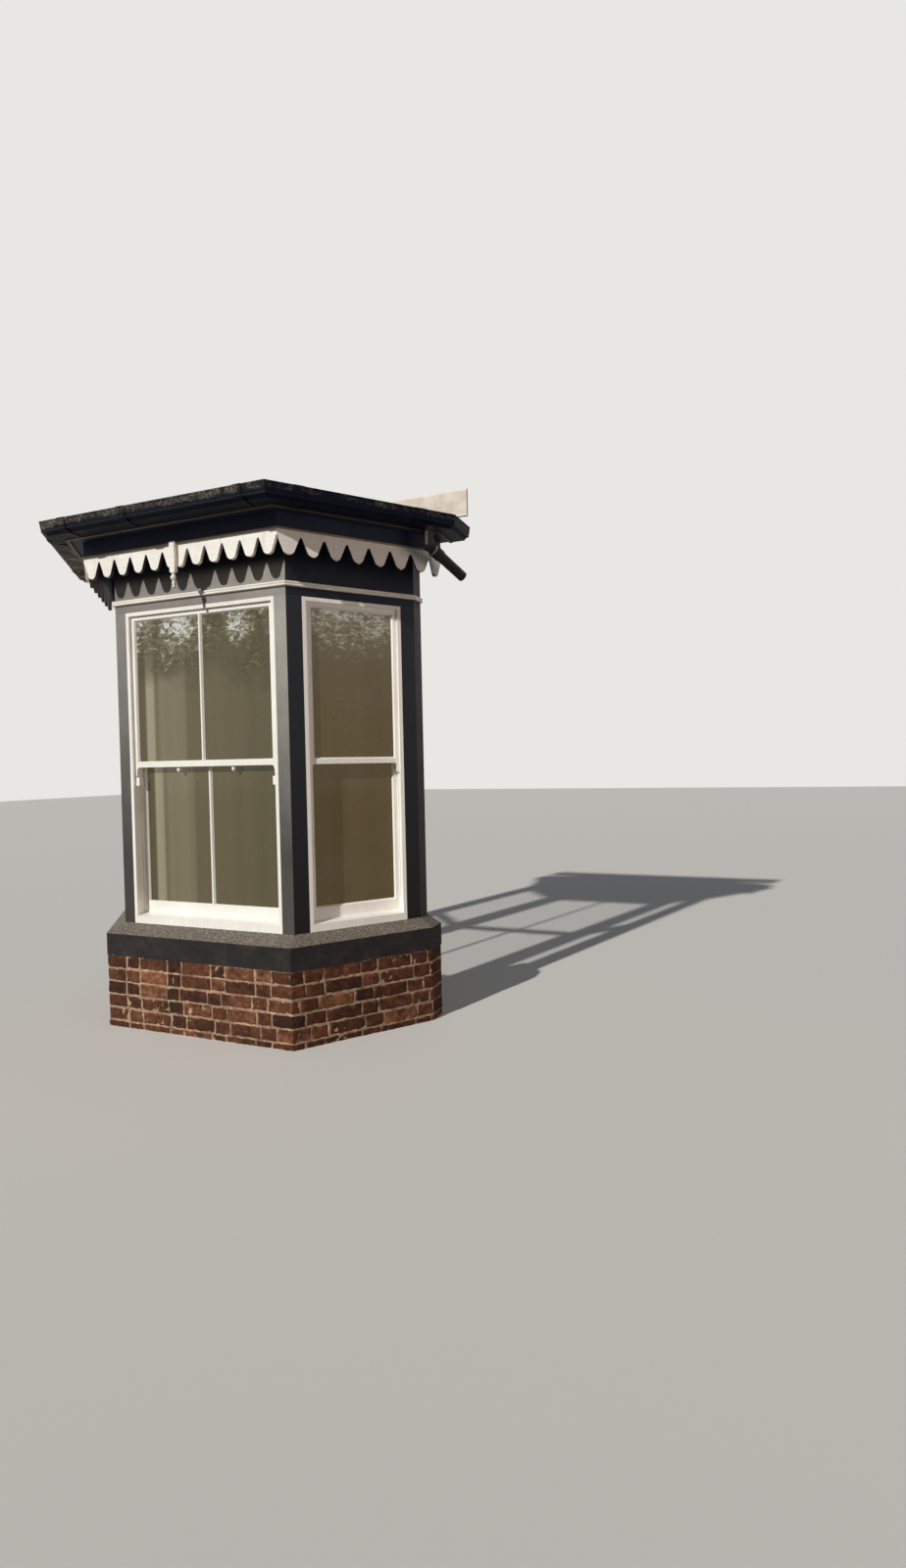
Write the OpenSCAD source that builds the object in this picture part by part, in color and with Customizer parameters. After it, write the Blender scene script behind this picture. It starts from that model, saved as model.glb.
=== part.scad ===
// Canted bay window of a brick terrace house, cut off at the face of the house wall.
// Millimetres, +Z up, ground at z = 0. The bay stands out of the wall towards -Y.
// An offset is a distance out from the face line of the posts, negative into the room.

/* [Plan] */
// Width of the front face between its two corners
front_w = 1400; // [1200:10:1800]
// Width of the bay where it meets the wall
bay_w = 2520; // [2400:10:3000]
// Distance of the front face from the wall
projection = 730; // [650:10:900]
// Length of the short square return beside the wall
return_d = 100; // [90:5:160]

/* [Brick plinth and stone sill] */
// Height of the brickwork above the ground
plinth_h = 488; // [300:4:800]
// Offset of the brick face
plinth_out = 100; // [80:1:104]
// Thickness of the brickwork with its inner plaster
plinth_t = 236; // [215:1:260]
// Offset of the nose of the stone sill
sill_out = 107; // [105:1:140]
// Height of the nose of the stone sill
sill_nose_h = 148; // [80:4:200]
// Rise of the weathered top of the sill from its nose to the window foot
sill_rise = 54; // [20:1:80]
// Level ledge of the sill in front of the posts
sill_ledge = 5; // [1:1:20]

/* [Posts] */
// Width of a corner post on the front face
post_front_w = 90; // [60:1:120]
// Width of a corner post on the canted face
post_side_w = 97; // [60:1:120]
// Width of a wall post on the canted face
wall_post_w = 97; // [60:1:120]

/* [Windows] */
// Height of the window frames
window_h = 2126; // [1600:2:2400]
// Height of the meeting rails above the foot of the frame
meeting_z = 1071; // [800:1:1300]
// Height of the meeting rails
meeting_h = 41; // [30:1:60]
// Visible width of the outer lining
lining_w = 24; // [18:1:40]
// Thickness of the outer lining
lining_t = 18; // [12:1:25]
// Depth by which linings and beads lap over a sash
lap = 10; // [6:1:14]
// Thickness of a sash
sash_t = 44; // [38:1:54]
// Thickness of the parting bead
parting_t = 9; // [6:1:12]
// Depth of the staff bead inside the sashes
staff_t = 18; // [12:1:25]
// Width of a sash stile and of the top rail
stile_w = 46; // [36:1:70]
// Height of the bottom rail of a lower sash
bottom_rail_h = 82; // [60:1:110]
// Height of the timber sill where it stops the lower sash
timber_sill_h = 62; // [50:1:80]
// Fall of the timber sill towards the outside
timber_sill_fall = 14; // [5:1:20]
// Width of the middle bar of the front sashes
bar_w = 29; // [24:1:50]
// Length of the horns below the meeting rail
horn_h = 68; // [40:1:90]
// Depth from the outer face of a sash to its glass
putty_d = 12; // [8:1:16]
// Width of the putty bevel and of the glass groove behind it
putty_w = 9; // [6:1:11]
// Thickness of the glass
glass_t = 4; // [3:0.5:6]

/* [Head] */
// Height of the head and frieze above the windows
frieze_h = 451; // [400:1:600]
// Height of the double bead above the window heads
moulding_rise = 54; // [30:1:100]
// Height of the double bead
moulding_h = 32; // [20:2:50]
// Projection of the double bead
moulding_out = 18; // [14:1:30]
// Height of the plaster ceiling above the window heads
ceiling_rise = 30; // [5:1:60]
// Thickness of the plaster ceiling
ceiling_t = 15; // [10:1:25]

/* [Eaves] */
// Offset of the face of the fascia
fascia_out = 256; // [230:1:300]
// Thickness of the fascia
fascia_t = 22; // [15:1:30]
// Height of the fascia
fascia_h = 92; // [60:1:140]
// Depth of the fascia below the soffit
fascia_drop = 9; // [0:1:20]
// Thickness of the soffit boards
soffit_t = 16; // [10:1:25]
// Offset of the face of the scalloped valance
valance_out = 163; // [120:1:190]
// Thickness of the valance and of the board that carries it
valance_t = 20; // [12:1:28]
// Height of the carrying board above the valance
bearer_h = 106; // [60:1:160]
// Height of the valance above its slits
valance_band = 38; // [25:1:80]
// Length of the scalloped tongues
tongue_h = 105; // [80:1:130]
// Pitch of the tongues on the front boards
tongue_pitch = 134.6; // [120:0.2:150]
// Radius of the rounded end of a tongue
tongue_r = 34; // [25:1:42]
// Radius of the top of a slit
slit_r = 9; // [4:1:14]
// Number of tongues on a canted side
side_tongues = 7; // [6:1:8]
// Height of the bead along the top of the valance
bead_h = 12; // [8:1:20]
// Width of the pendant block
pendant_w = 40; // [30:1:60]
// Thickness of the pendant block
pendant_t = 24; // [16:1:40]
// Height of the pendant block
pendant_h = 190; // [160:1:220]
// Length of the turned drop below the block
drop_h = 100; // [60:1:130]

/* [Gutter] */
// Width of the gutter from its back to its lip
gutter_w = 128; // [110:1:140]
// Height of the gutter
gutter_h = 84; // [76:1:110]
// Thickness of the cast metal
gutter_t = 5; // [4:0.5:8]
// Height of the upper face of the gutter
gutter_face_h = 60; // [45:1:62]
// Depth of the gutter lip below the top of the fascia
gutter_drop = 4; // [0:1:20]
// Length of the joint sockets
socket_l = 60; // [35:1:80]
// Thickness of the joint sockets
socket_t = 5; // [3:1:8]
// Distance of the front angle joints from a front corner of the gutter
angle_arm = 190; // [120:5:260]
// Distance of the outlet along the canted face from its front corner
outlet_s = 828; // [780:1:840]
// Clearance between the outlet and the joint socket beside it
outlet_clear = 7; // [3:1:40]
// Diameter of the outlet pipe
pipe_d = 68; // [50:1:75]
// Length of the upright part of the outlet pipe
pipe_drop = 118; // [80:1:160]
// Swelling of the pipe's elbow beyond its diameter
elbow_swell = 5; // [3:1:10]
// Length of the sloping offset pipe
offset_l = 330; // [200:1:340]
// Fall of the offset pipe below the level in degrees
offset_fall = 25; // [15:1:45]
// Turn of the offset pipe towards the wall in degrees
offset_turn = 19; // [10:1:40]

/* [Roof] */
// Pitch of the lead roof in degrees
roof_pitch = 5; // [3:0.5:8]
// Thickness of the roof boards
deck_t = 22; // [16:1:30]
// Thickness of the lead and its underlay
lead_t = 5; // [3:1:8]
// Diameter of the rolls on the hips
roll_d = 40; // [30:1:50]
// Height of the foot of the wall flashing above the fascia
flashing_rise = 73; // [60:1:75]
// Height of the wall flashing
flashing_h = 180; // [140:5:240]
// Thickness of the wall flashing
flashing_t = 20; // [10:1:30]

/* [Inside] */
// Width of the window board inside the frames
board_w = 60; // [30:1:80]
// Thickness of the window board
board_t = 25; // [18:1:40]

/* [Hidden] */
// Clearance between pieces that only lie beside each other
gap = 0.3;
big = 5000;
cant = atan((projection - return_d) / ((bay_w - front_w) / 2));
side_len = (projection - return_d) / sin(cant);
sill_z = plinth_h + sill_nose_h;
foot_z = sill_z + sill_rise;
head_z = foot_z + window_h;
soffit_z = head_z + frieze_h;
plinth_in = plinth_out - plinth_t;
// Depths of the window frame, from the post face into the room
parting_y = lining_t + sash_t + gap;
lower_y = parting_y + parting_t;
staff_y = lower_y + sash_t + gap;
frame_d = staff_y + staff_t;
channel_u = lining_w - lap;
sash_u = channel_u + gap;
front_frame_w = front_w - 2 * post_front_w;
side_frame_w = side_len - post_side_w - wall_post_w;
side_frame_x = (post_side_w - wall_post_w) / 2;
lower_foot = timber_sill_h;
upper_light_z = [meeting_z + meeting_h, window_h - sash_u - stile_w];
lower_light_z = [lower_foot + bottom_rail_h, meeting_z];
// Eaves levels
fascia_in = fascia_out - fascia_t;
fascia_z = soffit_z - fascia_drop;
eaves_z = fascia_z + fascia_h;
valance_top = soffit_z - bearer_h;
slit_z = valance_top - valance_band;
tip_z = slit_z - tongue_h;
gutter_back = fascia_out + gap;
gutter_out = gutter_back + gutter_w;
gutter_top = eaves_z - gutter_drop;
socket_out = gutter_out + socket_t;
roof_z = eaves_z + deck_t + lead_t;
lead_edge = 14;
collar_t = 5;
staff_rise = 14;
staff_reveal = 4;
flank_in = 0.3;
// The depth of the bay is centred on y = 0
wall_y = (projection + socket_out) / 2;

// Corners of the plan at an offset, on the right-hand side
along = [cos(cant), sin(cant)];
inward = [-sin(cant), cos(cant)];
side_turn = tan(45 - cant / 2);
function front_corner(o) = [front_w / 2 + o * tan(cant / 2), -projection - o];
function side_corner(o) = [bay_w / 2 + o, -return_d - o * side_turn];
function wall_corner(o) = [bay_w / 2 + o, 0];
function flip(p) = [-p[0], p[1]];

// Plan outlines between two offsets, mitred at the corners
function front_plan(o1, o2) = [
  flip(front_corner(o1)), front_corner(o1), front_corner(o2), flip(front_corner(o2))
];
function side_plan(o1, o2) = [front_corner(o1), side_corner(o1), side_corner(o2), front_corner(o2)];
function half_plan(o1, o2) = [
  front_corner(o1), side_corner(o1), wall_corner(o1), wall_corner(o2), side_corner(o2), front_corner(o2)
];
function whole_plan(o) = [
  flip(wall_corner(o)), flip(side_corner(o)), flip(front_corner(o)),
  front_corner(o), side_corner(o), wall_corner(o)
];

// Local frames: x runs along the face, y into the room, with y = 0 on the post face
module at_wall() translate([0, wall_y, 0]) children();
module left_hand() mirror([1, 0, 0]) children();
module to_front() translate([0, -projection, 0]) children();
module to_right() {
  translate([front_w / 2, -projection, 0]) rotate([0, 0, cant]) translate([side_len / 2, 0, 0]) children();
}
module to_return() translate([bay_w / 2, -return_d / 2, 0]) rotate([0, 0, 90]) children();
module side_window() to_right() translate([side_frame_x, 0, 0]) children();

// A plan outline raised between two heights
module slab(points, z1, z2) translate([0, 0, z1]) linear_extrude(height = z2 - z1) polygon(points);
// Mitred boards round the whole bay, a clearance apart at the corners
module half_boards(o1, o2, z1, z2) {
  e = gap / 2 * along;
  u = [0, gap / 2];
  slab([front_corner(o1) + e, side_corner(o1) - e, side_corner(o2) - e, front_corner(o2) + e], z1, z2);
  slab([side_corner(o1) + u, wall_corner(o1), wall_corner(o2), side_corner(o2) + u], z1, z2);
}
module boards(o1, o2, z1, z2) {
  e = [gap / 2, 0];
  slab([
    flip(front_corner(o1) - e), front_corner(o1) - e, front_corner(o2) - e, flip(front_corner(o2) - e)
  ], z1, z2);
  half_boards(o1, o2, z1, z2);
  left_hand() half_boards(o1, o2, z1, z2);
}

// A profile drawn in offset and height, run along a local face
module run(length = big) {
  rotate([0, 0, -90]) rotate([90, 0, 0]) linear_extrude(height = length, center = true) children();
}
// A profile that reaches far into the room, carried round the corners with true mitres
module half_wrap() {
  intersection() {
    to_right() run() children();
    to_return() run() children();
  }
}
module wrap() {
  intersection() {
    to_front() run() children();
    half_wrap() children();
    left_hand() half_wrap() children();
  }
}

// Brick plinth
module plinth_front() color("#7a5a44") at_wall() slab(front_plan(plinth_in, plinth_out), 0, plinth_h);
module plinth_right() color("#7a5a44") at_wall() slab(half_plan(plinth_in, plinth_out), 0, plinth_h);
module plinth_left() {
  color("#7a5a44") at_wall() left_hand() slab(half_plan(plinth_in, plinth_out), 0, plinth_h);
}

// Stone sill with a weathered top
module weathered() {
  polygon([
    [-big, plinth_h], [sill_out + 1, plinth_h], [sill_out + 1, sill_z - sill_rise / (sill_out - sill_ledge)],
    [sill_ledge, foot_z], [-big, foot_z]
  ]);
}
module sill_front() {
  color("#55575c") at_wall() intersection() {
    slab(front_plan(plinth_in, sill_out), plinth_h, foot_z);
    to_front() run() weathered();
  }
}
module half_sill() {
  intersection() {
    slab(half_plan(plinth_in, sill_out), plinth_h, foot_z);
    half_wrap() weathered();
  }
}
module sill_right() color("#55575c") at_wall() half_sill();
module sill_left() color("#55575c") at_wall() left_hand() half_sill();

// Posts
module corner_post() {
  p = front_corner(0) + post_side_w * along;
  x = front_w / 2 - post_front_w;
  slab([
    [x, -projection], front_corner(0), p,
    p + frame_d * inward, front_corner(-frame_d), [x, frame_d - projection]
  ], foot_z, head_z);
}
module wall_post() {
  p = side_corner(0) - wall_post_w * along;
  slab([
    p, side_corner(0), wall_corner(0), wall_corner(-frame_d), side_corner(-frame_d), p + frame_d * inward
  ], foot_z, head_z);
}
module corner_post_right() color("#6f7377") at_wall() corner_post();
module corner_post_left() color("#6f7377") at_wall() left_hand() corner_post();
module wall_post_right() color("#6f7377") at_wall() wall_post();
module wall_post_left() color("#6f7377") at_wall() left_hand() wall_post();

// Window frame: a weathered timber sill, two jambs and a head, which carry the linings, the sash
// channels, the parting bead and the staff bead
module frame_void(w) {
  steps = [
    [-1, lining_t, lining_w], [lining_t, parting_y, channel_u], [parting_y, lower_y, lining_w],
    [lower_y, staff_y, channel_u], [staff_y, frame_d + 1, lining_w + staff_reveal]
  ];
  for (s = steps) {
    translate([s[2] - w / 2, s[0], -1]) cube([w - 2 * s[2], s[1] - s[0], window_h - s[2] + 1]);
  }
}
module frame_members(w, z1, z2) {
  difference() {
    translate([-w / 2, 0, z1]) cube([w, frame_d, z2 - z1]);
    frame_void(w);
  }
}
// The sill's section, swelled by a clearance to cut the feet of the jambs to it
module timber_sill(w, g) {
  translate([-w / 2 - g, 0, 0]) rotate([90, 0, 90]) linear_extrude(height = w + 2 * g) polygon([
    [-g, -g], [frame_d + g, -g], [frame_d + g, lower_foot + staff_rise + g],
    [staff_y - g, lower_foot + staff_rise + g], [staff_y - g, lower_foot + g],
    [lower_y, lower_foot + g], [-g, lower_foot - timber_sill_fall + g]
  ]);
}
module window_frame(w) {
  head_foot = window_h - lining_w - staff_reveal;
  translate([0, 0, foot_z]) {
    timber_sill(w, 0);
    difference() {
      frame_members(w, 0, head_foot - gap);
      timber_sill(w, gap);
    }
    frame_members(w, head_foot, window_h);
  }
}
module frame_front() color("#eeece6") at_wall() to_front() window_frame(front_frame_w);
module frame_right() color("#eeece6") at_wall() side_window() window_frame(side_frame_w);
module frame_left() color("#eeece6") at_wall() left_hand() side_window() window_frame(side_frame_w);

// One light of a sash: the opening, the groove for its pane and the putty bevel outside
module light(x1, x2, z, y0) {
  groove = putty_w - 2;
  flare = putty_w + putty_w / putty_d;
  w = x2 - x1;
  h = z[1] - z[0];
  translate([x1, y0 + putty_d - 1, z[0]]) cube([w, sash_t, h]);
  translate([x1 - groove, y0 + putty_d, z[0] - groove]) cube([w + 2 * groove, glass_t, h + 2 * groove]);
  intersection() {
    translate([0, y0, z[0] - stile_w]) linear_extrude(height = h + 2 * stile_w) polygon([
      [x1 - flare, -1], [x2 + flare, -1], [x2, putty_d], [x1, putty_d]
    ]);
    translate([x1 - stile_w, y0, 0]) rotate([90, 0, 90]) linear_extrude(height = w + 2 * stile_w) polygon([
      [-1, z[0] - flare], [putty_d, z[0]], [putty_d, z[1]], [-1, z[1] + flare]
    ]);
  }
}
function half_light(w) = w / 2 - sash_u - stile_w;
module lights(w, z, y0, bar) {
  l = half_light(w);
  if (bar) {
    light(-l, -bar_w / 2, z, y0);
    light(bar_w / 2, l, z, y0);
  }
  if (!bar) light(-l, l, z, y0);
}
// A horn narrows below the rail in an ogee: a hollow first, then a round
module horn() {
  hollow = stile_w * 0.42;
  round_w = stile_w * 0.4;
  h = horn_h / 2;
  hollow_arc = [for (i = [0 : 8]) [stile_w + hollow * cos(90 + 11.25 * i), h * sin(90 + 11.25 * i) - h]];
  round_arc = [for (i = [1 : 8]) [
    stile_w - hollow - round_w + round_w * cos(11.25 * i), -h - h * sin(11.25 * i)
  ]];
  polygon(concat([[0, 1], [stile_w, 1]], hollow_arc, round_arc, [[0, -horn_h]]));
}
module hung_horn(x) {
  translate([-x, lining_t + sash_t, meeting_z]) rotate([90, 0, 0]) linear_extrude(height = sash_t) horn();
}
module upper_sash(w, bar) {
  x = w / 2 - sash_u;
  translate([0, 0, foot_z]) {
    difference() {
      translate([-x, lining_t, meeting_z]) cube([2 * x, sash_t, window_h - sash_u - meeting_z]);
      lights(w, upper_light_z, lining_t, bar);
    }
    hung_horn(x);
    mirror([1, 0, 0]) hung_horn(x);
  }
}
module lower_sash(w, bar) {
  x = w / 2 - sash_u;
  translate([0, 0, foot_z]) difference() {
    translate([-x, lower_y, lower_foot]) cube([2 * x, sash_t, meeting_z + meeting_h - lower_foot]);
    lights(w, lower_light_z, lower_y, bar);
  }
}
module upper_sash_front() color("#f4f2ec") at_wall() to_front() upper_sash(front_frame_w, true);
module upper_sash_right() color("#f4f2ec") at_wall() side_window() upper_sash(side_frame_w, false);
module upper_sash_left() color("#f4f2ec") at_wall() left_hand() side_window() upper_sash(side_frame_w, false);
module lower_sash_front() color("#f4f2ec") at_wall() to_front() lower_sash(front_frame_w, true);
module lower_sash_right() color("#f4f2ec") at_wall() side_window() lower_sash(side_frame_w, false);
module lower_sash_left() color("#f4f2ec") at_wall() left_hand() side_window() lower_sash(side_frame_w, false);

// Glass, standing in the grooves of the sashes
module pane(x1, x2, z, y0) {
  r = putty_w - 2;
  translate([x1 - r + gap, y0 + putty_d + gap / 2, z[0] - r]) {
    cube([x2 - x1 + 2 * r - 2 * gap, glass_t - gap, z[1] - z[0] + 2 * r - gap]);
  }
}
module panes(w, z, y0, bar) {
  l = half_light(w);
  if (bar) {
    pane(-l, -bar_w / 2, z, y0);
    pane(bar_w / 2, l, z, y0);
  }
  if (!bar) pane(-l, l, z, y0);
}
module window_glass(w, bar) {
  translate([0, 0, foot_z]) {
    panes(w, upper_light_z, lining_t, bar);
    panes(w, lower_light_z, lower_y, bar);
  }
}
module glass_front() color("#9fb0a8") at_wall() to_front() window_glass(front_frame_w, true);
module glass_right() color("#9fb0a8") at_wall() side_window() window_glass(side_frame_w, false);
module glass_left() color("#9fb0a8") at_wall() left_hand() side_window() window_glass(side_frame_w, false);

// Head and frieze
module frieze_front() color("#8d8e8f") at_wall() slab(front_plan(-frame_d, 0), head_z, soffit_z);
module frieze_right() color("#8d8e8f") at_wall() slab(half_plan(-frame_d, 0), head_z, soffit_z);
module frieze_left() color("#8d8e8f") at_wall() left_hand() slab(half_plan(-frame_d, 0), head_z, soffit_z);

// Double bead above the windows
module moulding_profile() {
  r = moulding_h / 4;
  translate([0, head_z + moulding_rise]) {
    translate([-big, 0]) square([moulding_out - r + big, moulding_h]);
    for (i = [1, 3]) translate([moulding_out - r, i * r]) circle(r = r, $fn = 32);
  }
}
module head_moulding() {
  color("#f4f2ec") at_wall() difference() {
    intersection() {
      slab(whole_plan(moulding_out + 1), head_z, soffit_z);
      wrap() moulding_profile();
    }
    slab(whole_plan(0), head_z - 1, soffit_z + 1);
  }
}

// Soffit, carrying board and fascia
module soffit() color("#23262e") at_wall() boards(-frame_d, fascia_in, soffit_z, soffit_z + soffit_t);
module valance_bearer() {
  color("#23262e") at_wall() boards(valance_out - valance_t, valance_out, valance_top, soffit_z);
}

// Everything under a hipped roof surface that passes through height z at offset o
module pitch_profile(o, z, base) {
  polygon([
    [-big, base], [o + 1, base], [o + 1, z - tan(roof_pitch)], [-big, z + (o + big) * tan(roof_pitch)]
  ]);
}
module hipped(o, z, base) {
  intersection() {
    slab(whole_plan(o), base, z + big / 4);
    wrap() pitch_profile(o, z, base);
  }
}
// The top of the fascia is bevelled to the pitch of the roof
module fascia_front() {
  color("#2b2d33") at_wall() intersection() {
    slab(front_plan(fascia_in, fascia_out), fascia_z, eaves_z + fascia_t);
    hipped(fascia_out, eaves_z, fascia_z);
  }
}
module half_fascia() {
  intersection() {
    slab(half_plan(fascia_in, fascia_out), fascia_z, eaves_z + fascia_t);
    hipped(fascia_out, eaves_z, fascia_z);
  }
}
module fascia_right() color("#2b2d33") at_wall() half_fascia();
module fascia_left() color("#2b2d33") at_wall() left_hand() half_fascia();

// Scalloped valance. A tongue has a round end, a slit a round top, and a straight flank joins them.
// The flank runs a little inside both rounds, so that it meets each of them at an edge.
module tongues(x0, n, p) {
  r1 = tongue_r - flank_in;
  r2 = slit_r - flank_in;
  d = [p / 2, tongue_r + slit_r - tongue_h];
  lean = atan2(d[1], d[0]) + acos((r1 + r2) / norm(d));
  top = [r2 * cos(lean), r2 * sin(lean) - slit_r];
  foot = [p / 2 - r1 * cos(lean), tongue_r - tongue_h - r1 * sin(lean)];
  difference() {
    union() {
      translate([x0, top[1]]) square([n * p, valance_band - top[1]]);
      for (i = [0 : n - 1]) translate([x0 + i * p, 0]) {
        polygon([[top[0], top[1] + 1], top, foot, [p - foot[0], foot[1]], [p - top[0], top[1]],
          [p - top[0], top[1] + 1]]);
        translate([p / 2, tongue_r - tongue_h]) circle(r = tongue_r, $fn = 48);
      }
    }
    for (i = [0 : n]) translate([x0 + i * p, -slit_r]) circle(r = slit_r, $fn = 24);
  }
}
// A board of tongues standing with its face at the valance offset of a local frame
module tongue_board(x0, n, p) {
  translate([0, valance_t - valance_out, slit_z]) rotate([90, 0, 0]) {
    linear_extrude(height = valance_t) tongues(x0, n, p);
  }
}
module valance_half() {
  x1 = front_corner(valance_out)[0];
  intersection() {
    to_front() tongue_board(x1 - 6 * tongue_pitch, 6, tongue_pitch);
    slab([
      [gap, -projection], front_corner(0), front_corner(valance_out + valance_t),
      [gap, -projection - valance_out - valance_t]
    ], tip_z - 1, valance_top + 1);
  }
}
module valance_front() {
  color("#f6f4ee") at_wall() {
    valance_half();
    left_hand() valance_half();
  }
}
module half_valance() {
  x1 = -side_len / 2 - valance_out * tan(cant / 2);
  x2 = side_len / 2 + valance_out * side_turn;
  l = return_d + valance_out * side_turn;
  o1 = valance_out - 2 * valance_t;
  o2 = valance_out + valance_t;
  intersection() {
    to_right() tongue_board(x1, side_tongues, (x2 - x1) / side_tongues);
    slab(side_plan(o1, o2), tip_z - 1, valance_top + 1);
  }
  // The return is a board of its own
  intersection() {
    to_return() tongue_board(return_d / 2 - l, 1, l);
    slab([
      side_corner(o1) + [0, gap], wall_corner(o1) + [0, 1],
      wall_corner(o2) + [0, 1], side_corner(o2) + [0, gap]
    ], tip_z - 1, valance_top + 1);
  }
}
module valance_right() color("#f6f4ee") at_wall() half_valance();
module valance_left() color("#f6f4ee") at_wall() left_hand() half_valance();

// Bead over the joint between the valance and its carrying board
module bead_profile() {
  translate([-big, valance_top]) square([big + valance_out + bead_h / 2, bead_h]);
  translate([valance_out + bead_h / 2, valance_top + bead_h / 2]) circle(d = bead_h, $fn = 32);
}
module valance_bead() {
  w = pendant_w + 2 * gap;
  color("#b9ab93") at_wall() difference() {
    intersection() {
      slab(whole_plan(valance_out + 2 * bead_h), valance_top - 1, soffit_z);
      wrap() bead_profile();
    }
    slab(whole_plan(valance_out), valance_top - 2, soffit_z + 1);
    to_front() translate([-w / 2, -valance_out - 3 * bead_h, valance_top - 2]) {
      cube([w, 4 * bead_h, 2 * bead_h]);
    }
  }
}

// Pendant over the joint of the two front boards, with a turned drop
module pendant() {
  z = valance_top + bead_h - pendant_h;
  color("#f6f4ee") at_wall() translate([0, -projection - valance_out - pendant_t / 2, z]) {
    translate([-pendant_w / 2, -pendant_t / 2, 0]) cube([pendant_w, pendant_t, pendant_h]);
    rotate_extrude($fn = 48) drop_profile();
  }
}
module drop_profile() {
  r = pendant_w / 2;
  cap_r = 4;
  neck = r * 0.45;
  ball = neck * 1.2;
  intersection() {
    translate([0, -drop_h - 1]) square([r, drop_h + 2]);
    union() {
      translate([0, -2 * cap_r]) square([r - 2 * cap_r, 2 * cap_r + 1]);
      translate([r - 2 * cap_r, -cap_r]) circle(r = cap_r, $fn = 24);
      translate([0, -drop_h * 0.9]) square([neck, drop_h * 0.9]);
      translate([0, -drop_h * 0.34]) circle(r = r - 1, $fn = 48);
      translate([0, -drop_h * 0.70]) circle(r = r * 0.62, $fn = 32);
      translate([0, ball - drop_h]) circle(r = ball, $fn = 32);
    }
  }
}

// Cast gutter: a swelling upper face, a narrow fillet and a hollow down to the sole.
// A socket is the same outline swelled by g.
module gutter_section(g, back = 0) {
  face = gutter_face_h;
  lip_h = 9;
  bulge_w = 9;
  fillet_h = 6;
  fillet_in = 8;
  hollow_in = 9;
  hollow_w = 30;
  hollow_h = gutter_h - face - fillet_h;
  cove = [for (i = [5 : -1 : 1]) [
    gutter_w - hollow_in - hollow_w * sin(15 * i) + g, -face - fillet_h - hollow_h * (1 - cos(15 * i)) - g
  ]];
  bulge = [for (i = [8 : -1 : 0]) [
    gutter_w - 2 - bulge_w * pow(i / 8, 2) + g, -lip_h - (face - lip_h) * i / 8
  ]];
  polygon(concat(
    [[back, 0], [back, -gutter_h - g], [gutter_w - hollow_in - hollow_w + g, -gutter_h - g]], cove,
    [[gutter_w - fillet_in + g, -face - fillet_h], [gutter_w - fillet_in + g, -face]], bulge,
    [[gutter_w + g, -lip_h], [gutter_w + g, 0]]
  ));
}
module gutter_hollow(back) {
  face = gutter_face_h;
  t = gutter_t;
  polygon([
    [back, 1], [back, t - gutter_h], [gutter_w - 48, t - gutter_h], [gutter_w - 44, 11 + t - gutter_h],
    [gutter_w - 28, -face], [gutter_w - 14, 8 - face], [gutter_w - 4 - t, -12], [gutter_w - 4 - t, 1]
  ]);
}
module at_gutter() translate([gutter_back, gutter_top]) children();
module gutter_front() {
  color("#3a3c3c") at_wall() intersection() {
    slab(front_plan(gutter_back, gutter_out + 1), gutter_top - 2 * gutter_h, gutter_top);
    to_front() run() at_gutter() difference() {
      gutter_section(0);
      gutter_hollow(gutter_t);
    }
  }
}
// The hollow stops short of the wall, behind a stop end
module half_gutter() {
  difference() {
    intersection() {
      slab(half_plan(gutter_back, gutter_out + 1), gutter_top - 2 * gutter_h, gutter_top);
      half_wrap() at_gutter() gutter_section(0, -big);
    }
    intersection() {
      half_wrap() at_gutter() gutter_hollow(-big);
      slab([
        front_corner(gutter_back + gutter_t), side_corner(gutter_back + gutter_t),
        wall_corner(gutter_back + gutter_t) - [0, gutter_t], wall_corner(gutter_out) - [0, gutter_t],
        side_corner(gutter_out), front_corner(gutter_out), front_corner(gutter_out) - 30 * along,
        front_corner(gutter_back + gutter_t) - 30 * along
      ], gutter_top - 2 * gutter_h, gutter_top + 1);
    }
  }
}
module outlet_at() {
  to_right() translate([outlet_s - side_len / 2, -gutter_back - gutter_w / 2, gutter_top - gutter_h]) {
    children();
  }
}
module gutter_right() {
  color("#3a3c3c") at_wall() difference() {
    half_gutter();
    outlet_at() translate([0, 0, -1]) cylinder(d = pipe_d - 12, h = gutter_t + 2, $fn = 48);
  }
}
module gutter_left() color("#3a3c3c") at_wall() left_hand() half_gutter();

// Joint sockets: straps under and in front of the gutter
module socket(x) {
  translate([x, 0, 0]) run(socket_l) at_gutter() difference() {
    gutter_section(socket_t);
    gutter_section(0);
    translate([-1, -gutter_h - 10]) square([9, gutter_h + 20]);
  }
}
module side_sockets() {
  x1 = -side_len / 2 - gutter_out * tan(cant / 2);
  x2 = outlet_s - side_len / 2 - pipe_d / 2 - collar_t - outlet_clear;
  to_right() {
    socket(x1 + angle_arm);
    socket(x2 - socket_l / 2);
  }
}
module gutter_sockets() {
  x = front_corner(gutter_out)[0];
  color("#3f4141") at_wall() {
    to_front() {
      socket(angle_arm - x);
      socket(-angle_arm);
      socket(x - angle_arm);
    }
    side_sockets();
    left_hand() side_sockets();
  }
}

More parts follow.
